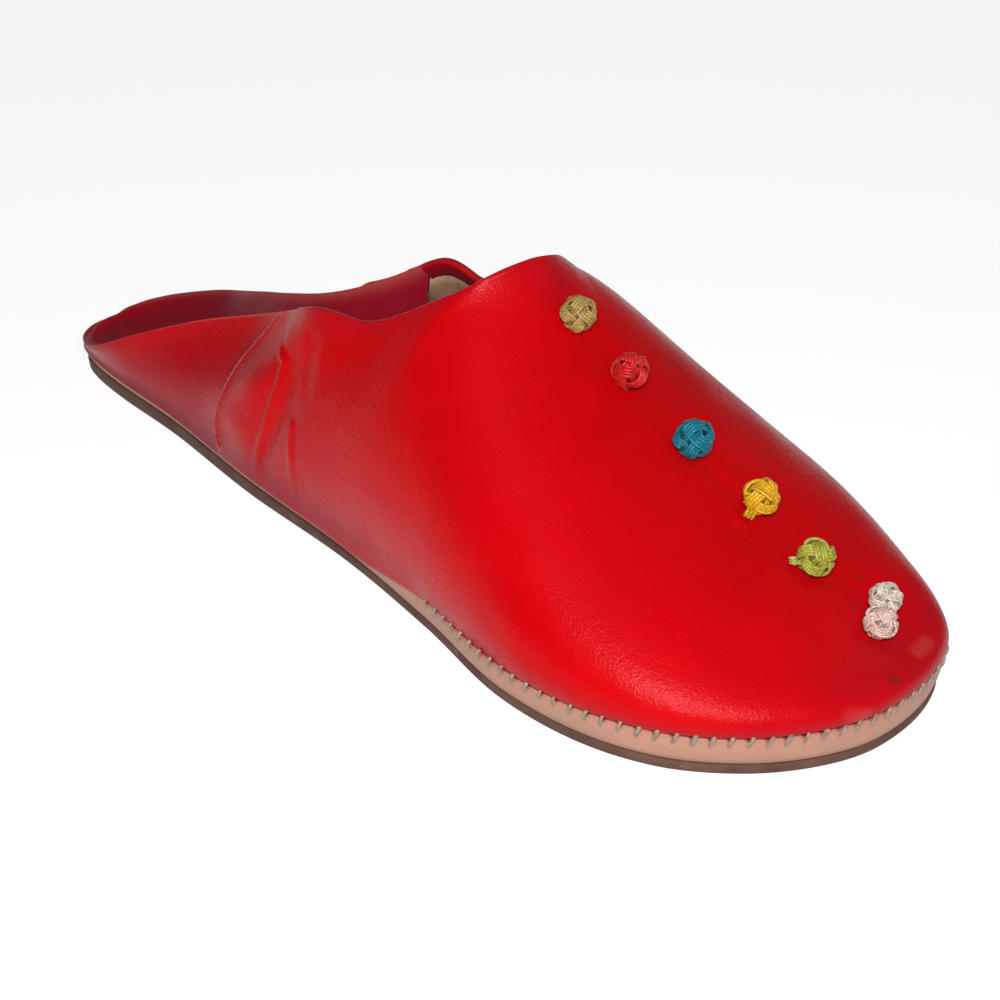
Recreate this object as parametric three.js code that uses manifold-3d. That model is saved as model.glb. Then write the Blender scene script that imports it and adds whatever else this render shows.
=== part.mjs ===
// Babouche slipper, left shoe, worn backless with its heel quarter folded down inside.
// Millimetres. +X points to the toe, +Z up, +Y to the outer side of the foot.
// The origin is on the floor under the middle of the shoe's length.
import * as THREE from "three";
import { mergeVertices } from "three/addons/utils/BufferGeometryUtils.js";
import Module from "manifold-3d";

// Driving sizes
const LENGTH = 265;
const BALL_WIDTH = 94.4;
const INSTEP_HEIGHT = 72.8;
const SIDE_HEIGHT = 53.4;
const TOE_HEIGHT = 20.5;
const HEEL_OVERHANG = 0.8;
const TOE_OVERHANG = 0.9;

// Leather and sole thicknesses
const UPPER_WALL = 1.5;
const COLLAR_WALL = 2.3;
const COLLAR_TURN_IN = 5;
const SEAM_STEP = 1.0;
const SOLE_THICKNESS = 2.2;
const OUTSOLE_FRONT = 2.5;
const OUTSOLE_HEEL = 4.2;
const INSOLE_THICKNESS = 1.2;

// The turned-up edge of the sole
const CUP_DEPTH = 5.0;
const CUP_FLARE = 1.8;
const CUP_SLOPE = 0.45;
const RIM_EDGE = 1.2;
const SHOULDER_RISE = 0.9;
const SHOULDER_OUT = 0.2;
const SOLE_CHAMFER = 0.7;

// Clearances and small features
const GAP = 0.3;
const SIDE_GAP = 0.35;
const INSOLE_MARGIN = 1.4;
const FLAP_SLACK = 0.4;
const FLAP_CREST = 0.8;
const TOE_SPRING = 1.2;
const TOE_SPRING_START = 0.88;
const HEEL_LIFT = 0.5;
const HEEL_LIFT_END = 0.035;

// Silk button knots
const KNOT_RADIUS = 4.5;
const KNOT_HEIGHT = 6.4;
const KNOT_BASE = 0.55;
const KNOT_SIDES = 14;

// Outline of the sole. at: share of its length from the heel.
// mid, half: middle line and half width as shares of BALL_WIDTH.
const OUTLINE = [
  { at: 0.0, mid: 0.011, half: 0.0 },
  { at: 0.012, mid: 0.011, half: 0.087 },
  { at: 0.04, mid: 0.013, half: 0.129 },
  { at: 0.1, mid: 0.017, half: 0.175 },
  { at: 0.2, mid: 0.019, half: 0.225 },
  { at: 0.35, mid: 0.011, half: 0.314 },
  { at: 0.5, mid: 0.0, half: 0.375 },
  { at: 0.62, mid: -0.025, half: 0.438 },
  { at: 0.73, mid: -0.062, half: 0.498 },
  { at: 0.81, mid: -0.083, half: 0.489 },
  { at: 0.87, mid: -0.095, half: 0.44 },
  { at: 0.925, mid: -0.096, half: 0.351 },
  { at: 0.97, mid: -0.082, half: 0.239 },
  { at: 0.992, mid: -0.067, half: 0.141 },
  { at: 1.0, mid: -0.06, half: 0.0 },
];

// Turned-up edge. out: share of CUP_FLARE, cup: share of CUP_DEPTH,
// heel: share of the outsole's extra thickness under the heel.
const SOLE_EDGE = [
  { at: 0.0, out: 0.25, cup: 0.16, heel: 1.0 },
  { at: 0.15, out: 0.35, cup: 0.18, heel: 1.0 },
  { at: 0.35, out: 0.45, cup: 0.28, heel: 0.85 },
  { at: 0.55, out: 0.65, cup: 0.78, heel: 0.1 },
  { at: 0.65, out: 0.85, cup: 0.95, heel: 0.0 },
  { at: 0.75, out: 1.0, cup: 1.0, heel: 0.0 },
  { at: 0.92, out: 0.9, cup: 1.0, heel: 0.0 },
  { at: 1.0, out: 0.4, cup: 1.0, heel: 0.0 },
];

// Middle line of ridge, collar and vamp. at: share of LENGTH, mid: share of BALL_WIDTH.
const MIDLINE = [
  { at: 0.0, mid: 0.008 },
  { at: 0.2, mid: -0.002 },
  { at: 0.4, mid: -0.03 },
  { at: 0.6, mid: -0.017 },
  { at: 0.8, mid: 0.004 },
  { at: 1.0, mid: -0.011 },
];

// Heel quarter, a row for each section. at: share of the sole's length at the foot of the
// section. x, half, rise: place of the fold ridge as shares of LENGTH, of BALL_WIDTH and of
// the climb from the heel's ridge to SIDE_HEIGHT. lean, drop: the wall's angles at its foot
// and at the ridge. steep: the folded flap's angle at the ridge. foot: share of LENGTH where
// the flap meets the middle line. slack: how far it lies above the insole there, as a share
// of FLAP_CREST.
const QUARTER = [
  { at: 0.0, x: 0.0, half: 0.0, rise: 0.0, lean: 30, drop: 100, reach: 0.3, steep: 4, foot: 0.045, slack: 0.0 },
  { at: 0.02, x: 0.02, half: 0.104, rise: 0.005, lean: 28, drop: 98, reach: 0.3, steep: 10, foot: 0.06, slack: 0.1 },
  { at: 0.06, x: 0.058, half: 0.185, rise: 0.1, lean: 24, drop: 90, reach: 0.3, steep: 24, foot: 0.1, slack: 0.6 },
  { at: 0.11, x: 0.125, half: 0.214, rise: 0.28, lean: 18, drop: 84, reach: 0.3, steep: 38, foot: 0.15, slack: 1.0 },
  { at: 0.17, x: 0.205, half: 0.156, rise: 0.475, lean: 14, drop: 76, reach: 0.3, steep: 52, foot: 0.215, slack: 1.0 },
  { at: 0.23, x: 0.285, half: 0.117, rise: 0.64, lean: 11, drop: 70, reach: 0.3, steep: 65, foot: 0.285, slack: 0.8 },
  { at: 0.275, x: 0.365, half: 0.118, rise: 0.82, lean: 10, drop: 68, reach: 0.3, steep: 72, foot: 0.35, slack: 0.4 },
  { at: 0.302, x: 0.419, half: 0.246, rise: 1.0, lean: 10, drop: 72, reach: 0.3, steep: 76, foot: 0.395, slack: 0.2 },
];

// Throat, from the side seam to the crown of the collar. rise: share of the climb from
// SIDE_HEIGHT to INSTEP_HEIGHT. drop: the surface's angle below level at the collar.
const THROAT = [
  { at: 0.302, x: 0.419, half: 0.246, rise: 0.0, lean: 10, drop: 72, reach: 0.3 },
  { at: 0.336, x: 0.434, half: 0.239, rise: 0.2, lean: 10, drop: 70, reach: 0.3 },
  { at: 0.4, x: 0.487, half: 0.231, rise: 0.175, lean: 10, drop: 62, reach: 0.3 },
  { at: 0.47, x: 0.53, half: 0.214, rise: 0.412, lean: 11, drop: 52, reach: 0.3 },
  { at: 0.54, x: 0.571, half: 0.186, rise: 0.722, lean: 12, drop: 40, reach: 0.31 },
  { at: 0.595, x: 0.596, half: 0.131, rise: 0.907, lean: 12, drop: 24, reach: 0.3 },
  { at: 0.63, x: 0.609, half: 0.067, rise: 0.979, lean: 12, drop: 10, reach: 0.29 },
  { at: 0.655, x: 0.613, half: 0.0, rise: 1.0, lean: 12, drop: 0, reach: 0.28 },
];

// Vamp, from the crown of the collar to the toe. x, rise: the middle line's place as shares
// of LENGTH and of the climb from TOE_HEIGHT to INSTEP_HEIGHT. lift: how far up the side
// wall stands, reach: how far the top stays level, as shares of the section.
const VAMP = [
  { at: 0.655, x: 0.613, rise: 1.0, lean: 12, reach: 0.28, lift: 0.45 },
  { at: 0.69, x: 0.642, rise: 0.83, lean: 12, reach: 0.3, lift: 0.5 },
  { at: 0.74, x: 0.692, rise: 0.61, lean: 12, reach: 0.34, lift: 0.55 },
  { at: 0.8, x: 0.758, rise: 0.4, lean: 12, reach: 0.38, lift: 0.6 },
  { at: 0.86, x: 0.822, rise: 0.239, lean: 10, reach: 0.42, lift: 0.65 },
  { at: 0.915, x: 0.868, rise: 0.117, lean: 8, reach: 0.46, lift: 0.7 },
  { at: 0.96, x: 0.9, rise: 0.044, lean: 4, reach: 0.5, lift: 0.75 },
  { at: 0.99, x: 0.914, rise: 0.01, lean: 0, reach: 0.53, lift: 0.8 },
  { at: 1.0, x: 0.918, rise: 0.0, lean: -2, reach: 0.54, lift: 0.8 },
];

// Knots on the vamp. at: section, side: -1 inner, 1 outer, up: share of the way up the
// section, 1 on the middle line. double: a second lobe this share further down.
const KNOTS = [
  { name: "knot_gold", at: 0.697, side: -1, up: 0.985, color: 0xb89545 },
  { name: "knot_coral", at: 0.744, side: -1, up: 0.99, color: 0xc8281e },
  { name: "knot_teal", at: 0.804, side: -1, up: 0.985, color: 0x1187a5 },
  { name: "knot_yellow", at: 0.864, side: -1, up: 0.99, color: 0xe3b21c },
  { name: "knot_olive", at: 0.928, side: -1, up: 0.95, color: 0x9da83a },
  { name: "knot_white", at: 0.998, side: 1, up: 0.8, double: 0.09, color: 0xe6cfc8 },
];

const SEAM = QUARTER.at(-1).at;
const CROWN = THROAT.at(-1).at;
const LAP = 0.006;
const MID_VAMP = 0.78;

// A station as a share of half a turn, which spreads sections evenly round both ends
function turn(at) {
  const level = THREE.MathUtils.clamp(1 - 2 * at, -1, 1);
  return Math.acos(level) / Math.PI;
}

function share(t) {
  return (1 - Math.cos(Math.PI * t)) / 2;
}

// Smooth curve through one column of a table. An end is "even" where the shape mirrors
// flat across it, "odd" where it passes through, and "free" where the table just stops.
function column(rows, name, start = "even", end = "even") {
  const places = rows.map((row) => turn(row.at));
  const values = rows.map((row) => row[name]);
  const last = rows.length - 1;
  const secant = (i) => (values[i + 1] - values[i]) / (places[i + 1] - places[i]);
  const endSlope = (kind, near, next) => {
    if (kind === "even") return 0;
    if (kind === "odd") return near;
    return near + (near - next) / 2;
  };
  const slopes = values.map((value, i) => {
    if (i === 0) return endSlope(start, secant(0), secant(1));
    if (i === last) return endSlope(end, secant(last - 1), secant(last - 2));
    const before = places[i] - places[i - 1];
    const after = places[i + 1] - places[i];
    return (secant(i - 1) * after + secant(i) * before) / (before + after);
  });
  return (t) => {
    const place = THREE.MathUtils.clamp(t, places[0], places[last]);
    let i = 0;
    while (i < last - 1 && place > places[i + 1]) i += 1;
    const h = places[i + 1] - places[i];
    const u = (place - places[i]) / h;
    const rise = u * u * (3 - 2 * u);
    const leave = u * (1 - u) * (1 - u) * h * slopes[i];
    const arrive = u * u * (1 - u) * h * slopes[i + 1];
    return values[i] * (1 - rise) + values[i + 1] * rise + leave - arrive;
  };
}

function columns(rows, start, end) {
  const curves = {};
  for (const name of Object.keys(rows[0])) {
    const odd = name === "half" ? "odd" : "even";
    curves[name] = column(rows, name, start === "tip" ? odd : start, end === "tip" ? odd : end);
  }
  return curves;
}

const outline = columns(OUTLINE, "tip", "tip");
const soleEdge = columns(SOLE_EDGE, "tip", "tip");
const quarter = columns(QUARTER, "tip", "free");
const throat = columns(THROAT, "free", "tip");
const vamp = columns(VAMP, "free", "tip");
const midline = column(MIDLINE, "mid");

// Places round the shoe are signed turns: 0 at the heel, -1 and 1 both at the toe,
// negative on the inner side and positive on the outer side.
function wrap(s) {
  if (s > 1) return s - 2;
  return s < -1 ? s + 2 : s;
}

function edgePoint(s) {
  const t = Math.abs(s);
  const soleLength = LENGTH - HEEL_OVERHANG - TOE_OVERHANG;
  const x = HEEL_OVERHANG - LENGTH / 2 + soleLength * share(t);
  const y = BALL_WIDTH * (outline.mid(t) + Math.sign(s) * outline.half(t));
  return new THREE.Vector3(x, y, 0);
}

function edgeNormal(s) {
  const step = 0.001;
  const along = edgePoint(wrap(s + step)).sub(edgePoint(wrap(s - step)));
  return new THREE.Vector3(-along.y, along.x, 0).normalize();
}

function atEdge(s, out, z) {
  return edgePoint(s).addScaledVector(edgeNormal(s), out).setZ(z);
}

function onLevel(s, out, heightAt) {
  const point = atEdge(s, out, 0);
  return point.setZ(heightAt(point.x));
}

// Heights of the layers at a place along the shoe
function station(x) {
  return THREE.MathUtils.clamp((x + LENGTH / 2) / LENGTH, 0, 1);
}

function outsoleBottom(x) {
  const toe = Math.max(0, (station(x) - TOE_SPRING_START) / (1 - TOE_SPRING_START));
  const heel = Math.max(0, (HEEL_LIFT_END - station(x)) / HEEL_LIFT_END);
  return TOE_SPRING * toe * toe + HEEL_LIFT * heel * heel;
}

function outsoleTop(x) {
  const extra = (OUTSOLE_HEEL - OUTSOLE_FRONT) * soleEdge.heel(turn(station(x)));
  return outsoleBottom(x) + OUTSOLE_FRONT + extra;
}

function soleBottom(x) {
  return outsoleTop(x) + GAP;
}

function soleFloor(x) {
  return soleBottom(x) + SOLE_THICKNESS;
}

function insoleBottom(x) {
  return soleFloor(x) + GAP;
}

function insoleTop(x) {
  return insoleBottom(x) + INSOLE_THICKNESS;
}

function flapFloor(x) {
  return insoleTop(x) + GAP + UPPER_WALL;
}

function rimHeight(s) {
  return soleFloor(edgePoint(s).x) + CUP_DEPTH * soleEdge.cup(Math.abs(s));
}

function rimOut(s) {
  return CUP_FLARE * soleEdge.out(Math.abs(s));
}

// Inside face of the turned-up edge at a height
function cupInner(s, z) {
  return rimOut(s) - RIM_EDGE - CUP_SLOPE * (rimHeight(s) - z);
}

// Upper: sections are cubic curves from the sole's edge up to ridge, collar or middle line
const UP = new THREE.Vector3(0, 0, 1);
const radians = THREE.MathUtils.degToRad;

function topPoint(x, half, z, side) {
  const y = BALL_WIDTH * (midline(turn(x)) + side * half);
  return new THREE.Vector3(LENGTH * (x - 0.5), y, z);
}

function outAndUp(s, angle) {
  const direction = edgeNormal(s).multiplyScalar(Math.cos(angle));
  return direction.addScaledVector(UP, Math.sin(angle));
}

function shoulder(s) {
  return atEdge(s, rimOut(s) + SHOULDER_OUT, rimHeight(s) + SHOULDER_RISE);
}

function heelRidge() {
  return flapFloor(-LENGTH / 2) + FLAP_SLACK;
}

function ridgePoint(s) {
  const t = Math.abs(s);
  const z = THREE.MathUtils.lerp(heelRidge(), SIDE_HEIGHT, quarter.rise(t));
  return topPoint(quarter.x(t), quarter.half(t), z, Math.sign(s));
}

function sideCurve(s, top, table, lift) {
  const t = Math.abs(s);
  const foot = shoulder(s);
  const climb = (top.z - foot.z) * lift;
  const span = top.distanceTo(foot) * table.reach(t);
  const low = foot.clone().addScaledVector(outAndUp(s, Math.PI / 2 - radians(table.lean(t))), climb);
  const high = top.clone().addScaledVector(outAndUp(s, -radians(table.drop(t))), span);
  return new THREE.CubicBezierCurve3(foot, low, high, top);
}

const SIDE_LIFT = 0.45;

function quarterCurve(s) {
  return sideCurve(s, ridgePoint(s), quarter, SIDE_LIFT);
}

function throatCurve(s) {
  const t = Math.abs(s);
  const z = THREE.MathUtils.lerp(SIDE_HEIGHT, INSTEP_HEIGHT, throat.rise(t));
  const top = topPoint(throat.x(t), throat.half(t), z, Math.sign(s));
  return sideCurve(s, top, throat, SIDE_LIFT);
}

function crestPoint(t) {
  const z = THREE.MathUtils.lerp(TOE_HEIGHT, INSTEP_HEIGHT, vamp.rise(t));
  return topPoint(vamp.x(t), 0, z, 0);
}

function crestSlope(t) {
  const step = 0.002;
  const from = crestPoint(Math.max(turn(CROWN), t - step));
  const to = crestPoint(Math.min(1 - step / 2, t + step));
  return (to.z - from.z) / (to.x - from.x);
}

// Share of the crest's slope that a section follows: none at the collar, all by mid-vamp
function crestShare(t) {
  return THREE.MathUtils.smoothstep(t, turn(CROWN), turn(MID_VAMP));
}

function vampCurve(s) {
  const t = Math.abs(s);
  const foot = shoulder(s);
  const top = crestPoint(t);
  const climb = (top.z - foot.z) * vamp.lift(t);
  const low = foot.clone().addScaledVector(outAndUp(s, Math.PI / 2 - radians(vamp.lean(t))), climb);
  const out = edgeNormal(s);
  out.z = crestShare(t) * crestSlope(Math.min(t, 1 - 0.002)) * out.x;
  const reach = top.distanceTo(foot) * vamp.reach(t);
  return new THREE.CubicBezierCurve3(foot, low, top.clone().addScaledVector(out, reach), top);
}

function wallCurve(s) {
  const t = Math.abs(s);
  if (t <= turn(SEAM)) return quarterCurve(s);
  return t <= turn(CROWN) ? throatCurve(s) : vampCurve(s);
}

// The folded half of the quarter, from the ridge down to the middle line
function flapCurve(s) {
  const t = Math.abs(s);
  const ridge = ridgePoint(s);
  const footX = LENGTH * (quarter.foot(t) - 0.5);
  const z = flapFloor(footX) + FLAP_CREST * quarter.slack(t);
  const foot = topPoint(quarter.foot(t), 0, z, 0);
  const inward = foot.clone().sub(ridge).setZ(0);
  const width = inward.length();
  inward.normalize();
  const steep = radians(quarter.steep(t));
  const hang = 0.45 * Math.hypot(width, ridge.z - z);
  const high = ridge.clone().addScaledVector(inward, hang * Math.cos(steep));
  high.z = Math.max(ridge.z - hang * Math.sin(steep), Math.min(z, ridge.z));
  const low = foot.clone().addScaledVector(inward, -0.55 * width);
  return new THREE.CubicBezierCurve3(ridge, high, low, foot);
}

// Outward normal of a family of section curves
function surfaceNormal(family, s, u) {
  const step = 0.004;
  const along = family(wrap(s + step)).getPoint(u).sub(family(wrap(s - step)).getPoint(u));
  const curve = family(s);
  const up = curve.getPoint(Math.min(1, u + step)).sub(curve.getPoint(Math.max(0, u - step)));
  return up.cross(along).normalize();
}

function crestNormal(family, s, u) {
  if (u < 1) return surfaceNormal(family, s, u);
  const t = Math.abs(s);
  return surfaceNormal(family, -t, u).add(surfaceNormal(family, t, u)).normalize();
}

// Rows of a wall below the shoulder, where it stands inside the sole's cup
function cupRows(s) {
  const footAt = (x) => soleFloor(x) + GAP;
  const low = cupInner(s, footAt(edgePoint(s).x)) - SIDE_GAP;
  const high = cupInner(s, rimHeight(s)) - SIDE_GAP;
  const top = rimHeight(s) + GAP;
  const outer = [onLevel(s, low, footAt), atEdge(s, high, top)];
  const inner = [onLevel(s, low - UPPER_WALL, footAt), atEdge(s, high - UPPER_WALL, top)];
  return { outer, inner };
}

function shoulderInner(s) {
  return atEdge(s, rimOut(s) + SHOULDER_OUT - UPPER_WALL - SIDE_GAP, rimHeight(s) + SHOULDER_RISE);
}

// One section of the quarter: wall, ridge and flap, with the fold mitred inside
function quarterSection(s, wallRows, flapRows) {
  const wall = quarterCurve(s);
  const flap = flapCurve(s);
  const { outer, inner } = cupRows(s);
  const down = wall.getTangent(1).negate();
  const inward = flap.getTangent(0);
  const halfAngle = Math.max(down.angleTo(inward) / 2, radians(8));
  const setback = UPPER_WALL / Math.tan(halfAngle);
  const wallShare = Math.max(0.3, 1 - setback / wall.getLength());
  const flapShare = Math.min(0.7, setback / flap.getLength());
  for (let k = 0; k < wallRows; k += 1) {
    const u = k / wallRows;
    outer.push(wall.getPoint(u));
    if (k === 0) inner.push(shoulderInner(s));
    else {
      const point = wall.getPoint(u * wallShare);
      inner.push(point.addScaledVector(surfaceNormal(quarterCurve, s, u * wallShare), -UPPER_WALL));
    }
  }
  outer.push(wall.getPoint(1));
  const bisector = down.add(inward).normalize();
  inner.push(wall.getPoint(1).addScaledVector(bisector, UPPER_WALL / Math.sin(halfAngle)));
  for (let k = 1; k <= flapRows; k += 1) {
    const v = k / flapRows;
    const under = 1 - (1 - flapShare) * (1 - v);
    outer.push(flap.getPoint(v));
    inner.push(flap.getPoint(under).addScaledVector(crestNormal(flapCurve, s, under), -UPPER_WALL));
  }
  return { outer, inner, open: false };
}

// One section of the vamp, lapped over the quarter behind the seam
function vampSection(s, rows) {
  const t = Math.abs(s);
  const open = t <= turn(CROWN);
  const lapEnd = 2 * turn(SEAM) - turn(SEAM - LAP);
  const lap = t <= turn(SEAM) ? 1 : Math.max(0, (lapEnd - t) / (lapEnd - turn(SEAM)));
  const raised = SEAM_STEP * lap;
  const wall = wallCurve(s);
  const { outer, inner } = cupRows(s);
  const collarShare = COLLAR_TURN_IN / wall.getLength();
  for (let k = 0; k <= rows; k += 1) {
    const u = open && k === rows - 1 ? 1 - collarShare : k / rows;
    const normal = t < turn(CROWN) ? surfaceNormal(wallCurve, s, u) : crestNormal(wallCurve, s, u);
    const point = wall.getPoint(u);
    const lift = k === 0 ? raised / 2 : raised;
    const depth = open && k === rows ? COLLAR_WALL : UPPER_WALL;
    outer.push(point.clone().addScaledVector(normal, lift));
    if (k === 0) inner.push(shoulderInner(s));
    else inner.push(point.clone().addScaledVector(normal, lift - depth));
  }
  return { outer, inner, open };
}

// Closed mesh from triangles given as point triples
function closedMesh(triangles) {
  const positions = new Float32Array(triangles.length * 9);
  triangles.forEach((triangle, i) => {
    triangle.forEach((point, k) => point.toArray(positions, 9 * i + 3 * k));
  });
  const loose = new THREE.BufferGeometry();
  loose.setAttribute("position", new THREE.BufferAttribute(positions, 3));
  const geometry = mergeVertices(loose, 0.001);
  const index = Array.from(geometry.index.array);
  const kept = [];
  for (let i = 0; i < index.length; i += 3) {
    const [a, b, c] = index.slice(i, i + 3);
    if (a !== b && b !== c && c !== a) kept.push(a, b, c);
  }
  geometry.setIndex(kept);
  return geometry;
}

function quad(a, b, c, d) {
  const flatAC = a.distanceTo(c) <= b.distanceTo(d);
  return flatAC ? [[a, b, c], [a, c, d]] : [[a, b, d], [b, c, d]];
}

// Hollow shell from sections given heel-wise round the shoe. Sections that are not open
// meet their mirror at the top.
function shell(sections) {
  const triangles = [];
  const rows = sections[0].outer.length;
  for (let i = 0; i < sections.length - 1; i += 1) {
    const p = sections[i];
    const q = sections[i + 1];
    for (let k = 0; k < rows - 1; k += 1) {
      triangles.push(...quad(p.outer[k], q.outer[k], q.outer[k + 1], p.outer[k + 1]));
      triangles.push(...quad(p.inner[k], p.inner[k + 1], q.inner[k + 1], q.inner[k]));
    }
    triangles.push(...quad(p.outer[0], p.inner[0], q.inner[0], q.outer[0]));
    if (p.open && q.open) {
      const top = rows - 1;
      triangles.push(...quad(p.outer[top], q.outer[top], q.inner[top], p.inner[top]));
    }
  }
  const first = sections[0];
  const final = sections.at(-1);
  for (let k = 0; k < rows - 1; k += 1) {
    triangles.push(...quad(first.outer[k], first.outer[k + 1], first.inner[k + 1], first.inner[k]));
    triangles.push(...quad(final.outer[k], final.inner[k], final.inner[k + 1], final.outer[k + 1]));
  }
  return closedMesh(triangles);
}

// Solid swept from heel to toe through closed rings whose ends close on themselves
function ringSolid(rings) {
  const triangles = [];
  for (let i = 0; i < rings.length - 1; i += 1) {
    const count = rings[i].length;
    for (let k = 0; k < count; k += 1) {
      const next = (k + 1) % count;
      triangles.push(...quad(rings[i][k], rings[i + 1][k], rings[i + 1][next], rings[i][next]));
    }
  }
  return closedMesh(triangles);
}

function spread(from, to, steps) {
  return Array.from({ length: steps + 1 }, (unused, i) => from + ((to - from) * i) / steps);
}

const wasm = await Module();
wasm.setup();

function toSolid(geometry) {
  const vertProperties = new Float32Array(geometry.attributes.position.array);
  const triVerts = new Uint32Array(geometry.index.array);
  return new wasm.Manifold(new wasm.Mesh({ numProp: 3, vertProperties, triVerts }));
}

function fromSolid(solid) {
  const mesh = solid.getMesh();
  const geometry = new THREE.BufferGeometry();
  geometry.setAttribute("position", new THREE.BufferAttribute(mesh.vertProperties, 3));
  geometry.setIndex(Array.from(mesh.triVerts));
  return geometry;
}

const QUARTER_SECTIONS = 13;
const THROAT_SECTIONS = 12;
const VAMP_SECTIONS = 13;
const WALL_ROWS = 6;
const FLAP_ROWS = 8;
const VAMP_ROWS = 11;
const SOLE_STATIONS = 44;

function buildUpper() {
  const heelTurns = spread(-turn(SEAM), turn(SEAM), 2 * QUARTER_SECTIONS);
  const quarterShell = shell(heelTurns.map((s) => quarterSection(s, WALL_ROWS, FLAP_ROWS)).reverse());
  const lapped = [turn(SEAM - LAP), ...spread(turn(SEAM), turn(CROWN), THROAT_SECTIONS)];
  const oneSide = [...lapped, ...spread(turn(CROWN), 1, VAMP_SECTIONS).slice(1)];
  const otherSide = oneSide.slice(0, -1).map((t) => -t);
  const vampTurns = [...otherSide, ...oneSide.reverse()];
  const vampShell = shell(vampTurns.map((s) => vampSection(s, VAMP_ROWS)));
  return fromSolid(toSolid(quarterShell).add(toSolid(vampShell)));
}

// Ring across the sole: the points of one side out of a list, then of the other in reverse
function acrossRing(t, points) {
  return [...points(-t), ...points(t).reverse()];
}

function soleStations() {
  return spread(0, 1, SOLE_STATIONS);
}

function buildOutsole() {
  const rings = soleStations().map((t) => acrossRing(t, (s) => {
    const x = edgePoint(s).x;
    return [
      onLevel(s, -SOLE_CHAMFER, outsoleBottom),
      atEdge(s, 0, outsoleBottom(x) + SOLE_CHAMFER),
      atEdge(s, 0, outsoleTop(x)),
    ];
  }));
  return ringSolid(rings);
}

function buildSole() {
  const rings = soleStations().map((t) => acrossRing(t, (s) => {
    const x = edgePoint(s).x;
    const high = rimHeight(s);
    return [
      atEdge(s, 0, soleBottom(x)),
      atEdge(s, rimOut(s) * 0.5, (soleBottom(x) + high) / 2),
      atEdge(s, rimOut(s), high),
      atEdge(s, rimOut(s) - RIM_EDGE, high),
      onLevel(s, cupInner(s, soleFloor(x)), soleFloor),
    ];
  }));
  return ringSolid(rings);
}

function buildInsole() {
  const rings = soleStations().map((t) => acrossRing(t, (s) => {
    const x = edgePoint(s).x;
    const inset = cupInner(s, insoleBottom(x)) - SIDE_GAP - UPPER_WALL - INSOLE_MARGIN;
    return [onLevel(s, inset, insoleBottom), onLevel(s, inset, insoleTop)];
  }));
  return ringSolid(rings);
}

// A silk knot: a bun shape standing on the vamp
function knotGeometry() {
  const profile = [new THREE.Vector2(0, 0)];
  for (const angle of spread(-60, 90, 6)) {
    const r = KNOT_RADIUS * Math.cos(radians(angle));
    const z = (KNOT_HEIGHT * (Math.sin(radians(angle)) + Math.sin(radians(60)))) / (1 + Math.sin(radians(60)));
    profile.push(new THREE.Vector2(Math.max(r, 0), z));
  }
  profile[profile.length - 1].x = 0;
  const bun = new THREE.LatheGeometry(profile, KNOT_SIDES);
  bun.rotateX(Math.PI / 2);
  bun.deleteAttribute("normal");
  bun.deleteAttribute("uv");
  return bun;
}

function knotPlace(knot, up) {
  const s = knot.side * turn(knot.at);
  const normal = crestNormal(wallCurve, s, up);
  const point = wallCurve(s).getPoint(up);
  return { point: point.addScaledVector(normal, KNOT_BASE), normal };
}

function buildKnot(knot) {
  const ups = knot.double ? [knot.up, knot.up - knot.double] : [knot.up];
  let solid = null;
  for (const up of ups) {
    const { point, normal } = knotPlace(knot, up);
    const turned = new THREE.Quaternion().setFromUnitVectors(UP, normal);
    const geometry = knotGeometry().applyQuaternion(turned).translate(point.x, point.y, point.z);
    const lobe = toSolid(closedMesh(trianglesOf(geometry)));
    solid = solid ? solid.add(lobe) : lobe;
  }
  return fromSolid(solid);
}

function trianglesOf(geometry) {
  const flat = geometry.index ? geometry.toNonIndexed() : geometry;
  const points = flat.attributes.position;
  const triangles = [];
  for (let i = 0; i < points.count; i += 3) {
    triangles.push([0, 1, 2].map((k) => new THREE.Vector3().fromBufferAttribute(points, i + k)));
  }
  return triangles;
}

function piece(name, geometry, color, roughness) {
  const material = new THREE.MeshStandardMaterial({ color, roughness, metalness: 0 });
  material.name = name;
  const mesh = new THREE.Mesh(geometry, material);
  mesh.name = name;
  return mesh;
}

const slipper = new THREE.Group();
slipper.add(piece("outsole", buildOutsole(), 0x4b342a, 0.75));
slipper.add(piece("sole", buildSole(), 0xc99c84, 0.6));
slipper.add(piece("insole", buildInsole(), 0xc2a488, 0.8));
slipper.add(piece("upper", buildUpper(), 0xb50a12, 0.42));
for (const knot of KNOTS) slipper.add(piece(knot.name, buildKnot(knot), knot.color, 0.5));

// The origin goes under the middle of the whole shoe
const box = new THREE.Box3().setFromObject(slipper, true);
const middle = box.getCenter(new THREE.Vector3());
for (const mesh of slipper.children) mesh.geometry.translate(-middle.x, -middle.y, -box.min.z);

export default slipper;
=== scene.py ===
# Babouche slipper, left shoe: leather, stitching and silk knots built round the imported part.
# Shapes are worked out in millimetres, with +X to the toe and the inner side at -Y, and
# become metres in the part's own frame when a mesh is made.
import math

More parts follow.
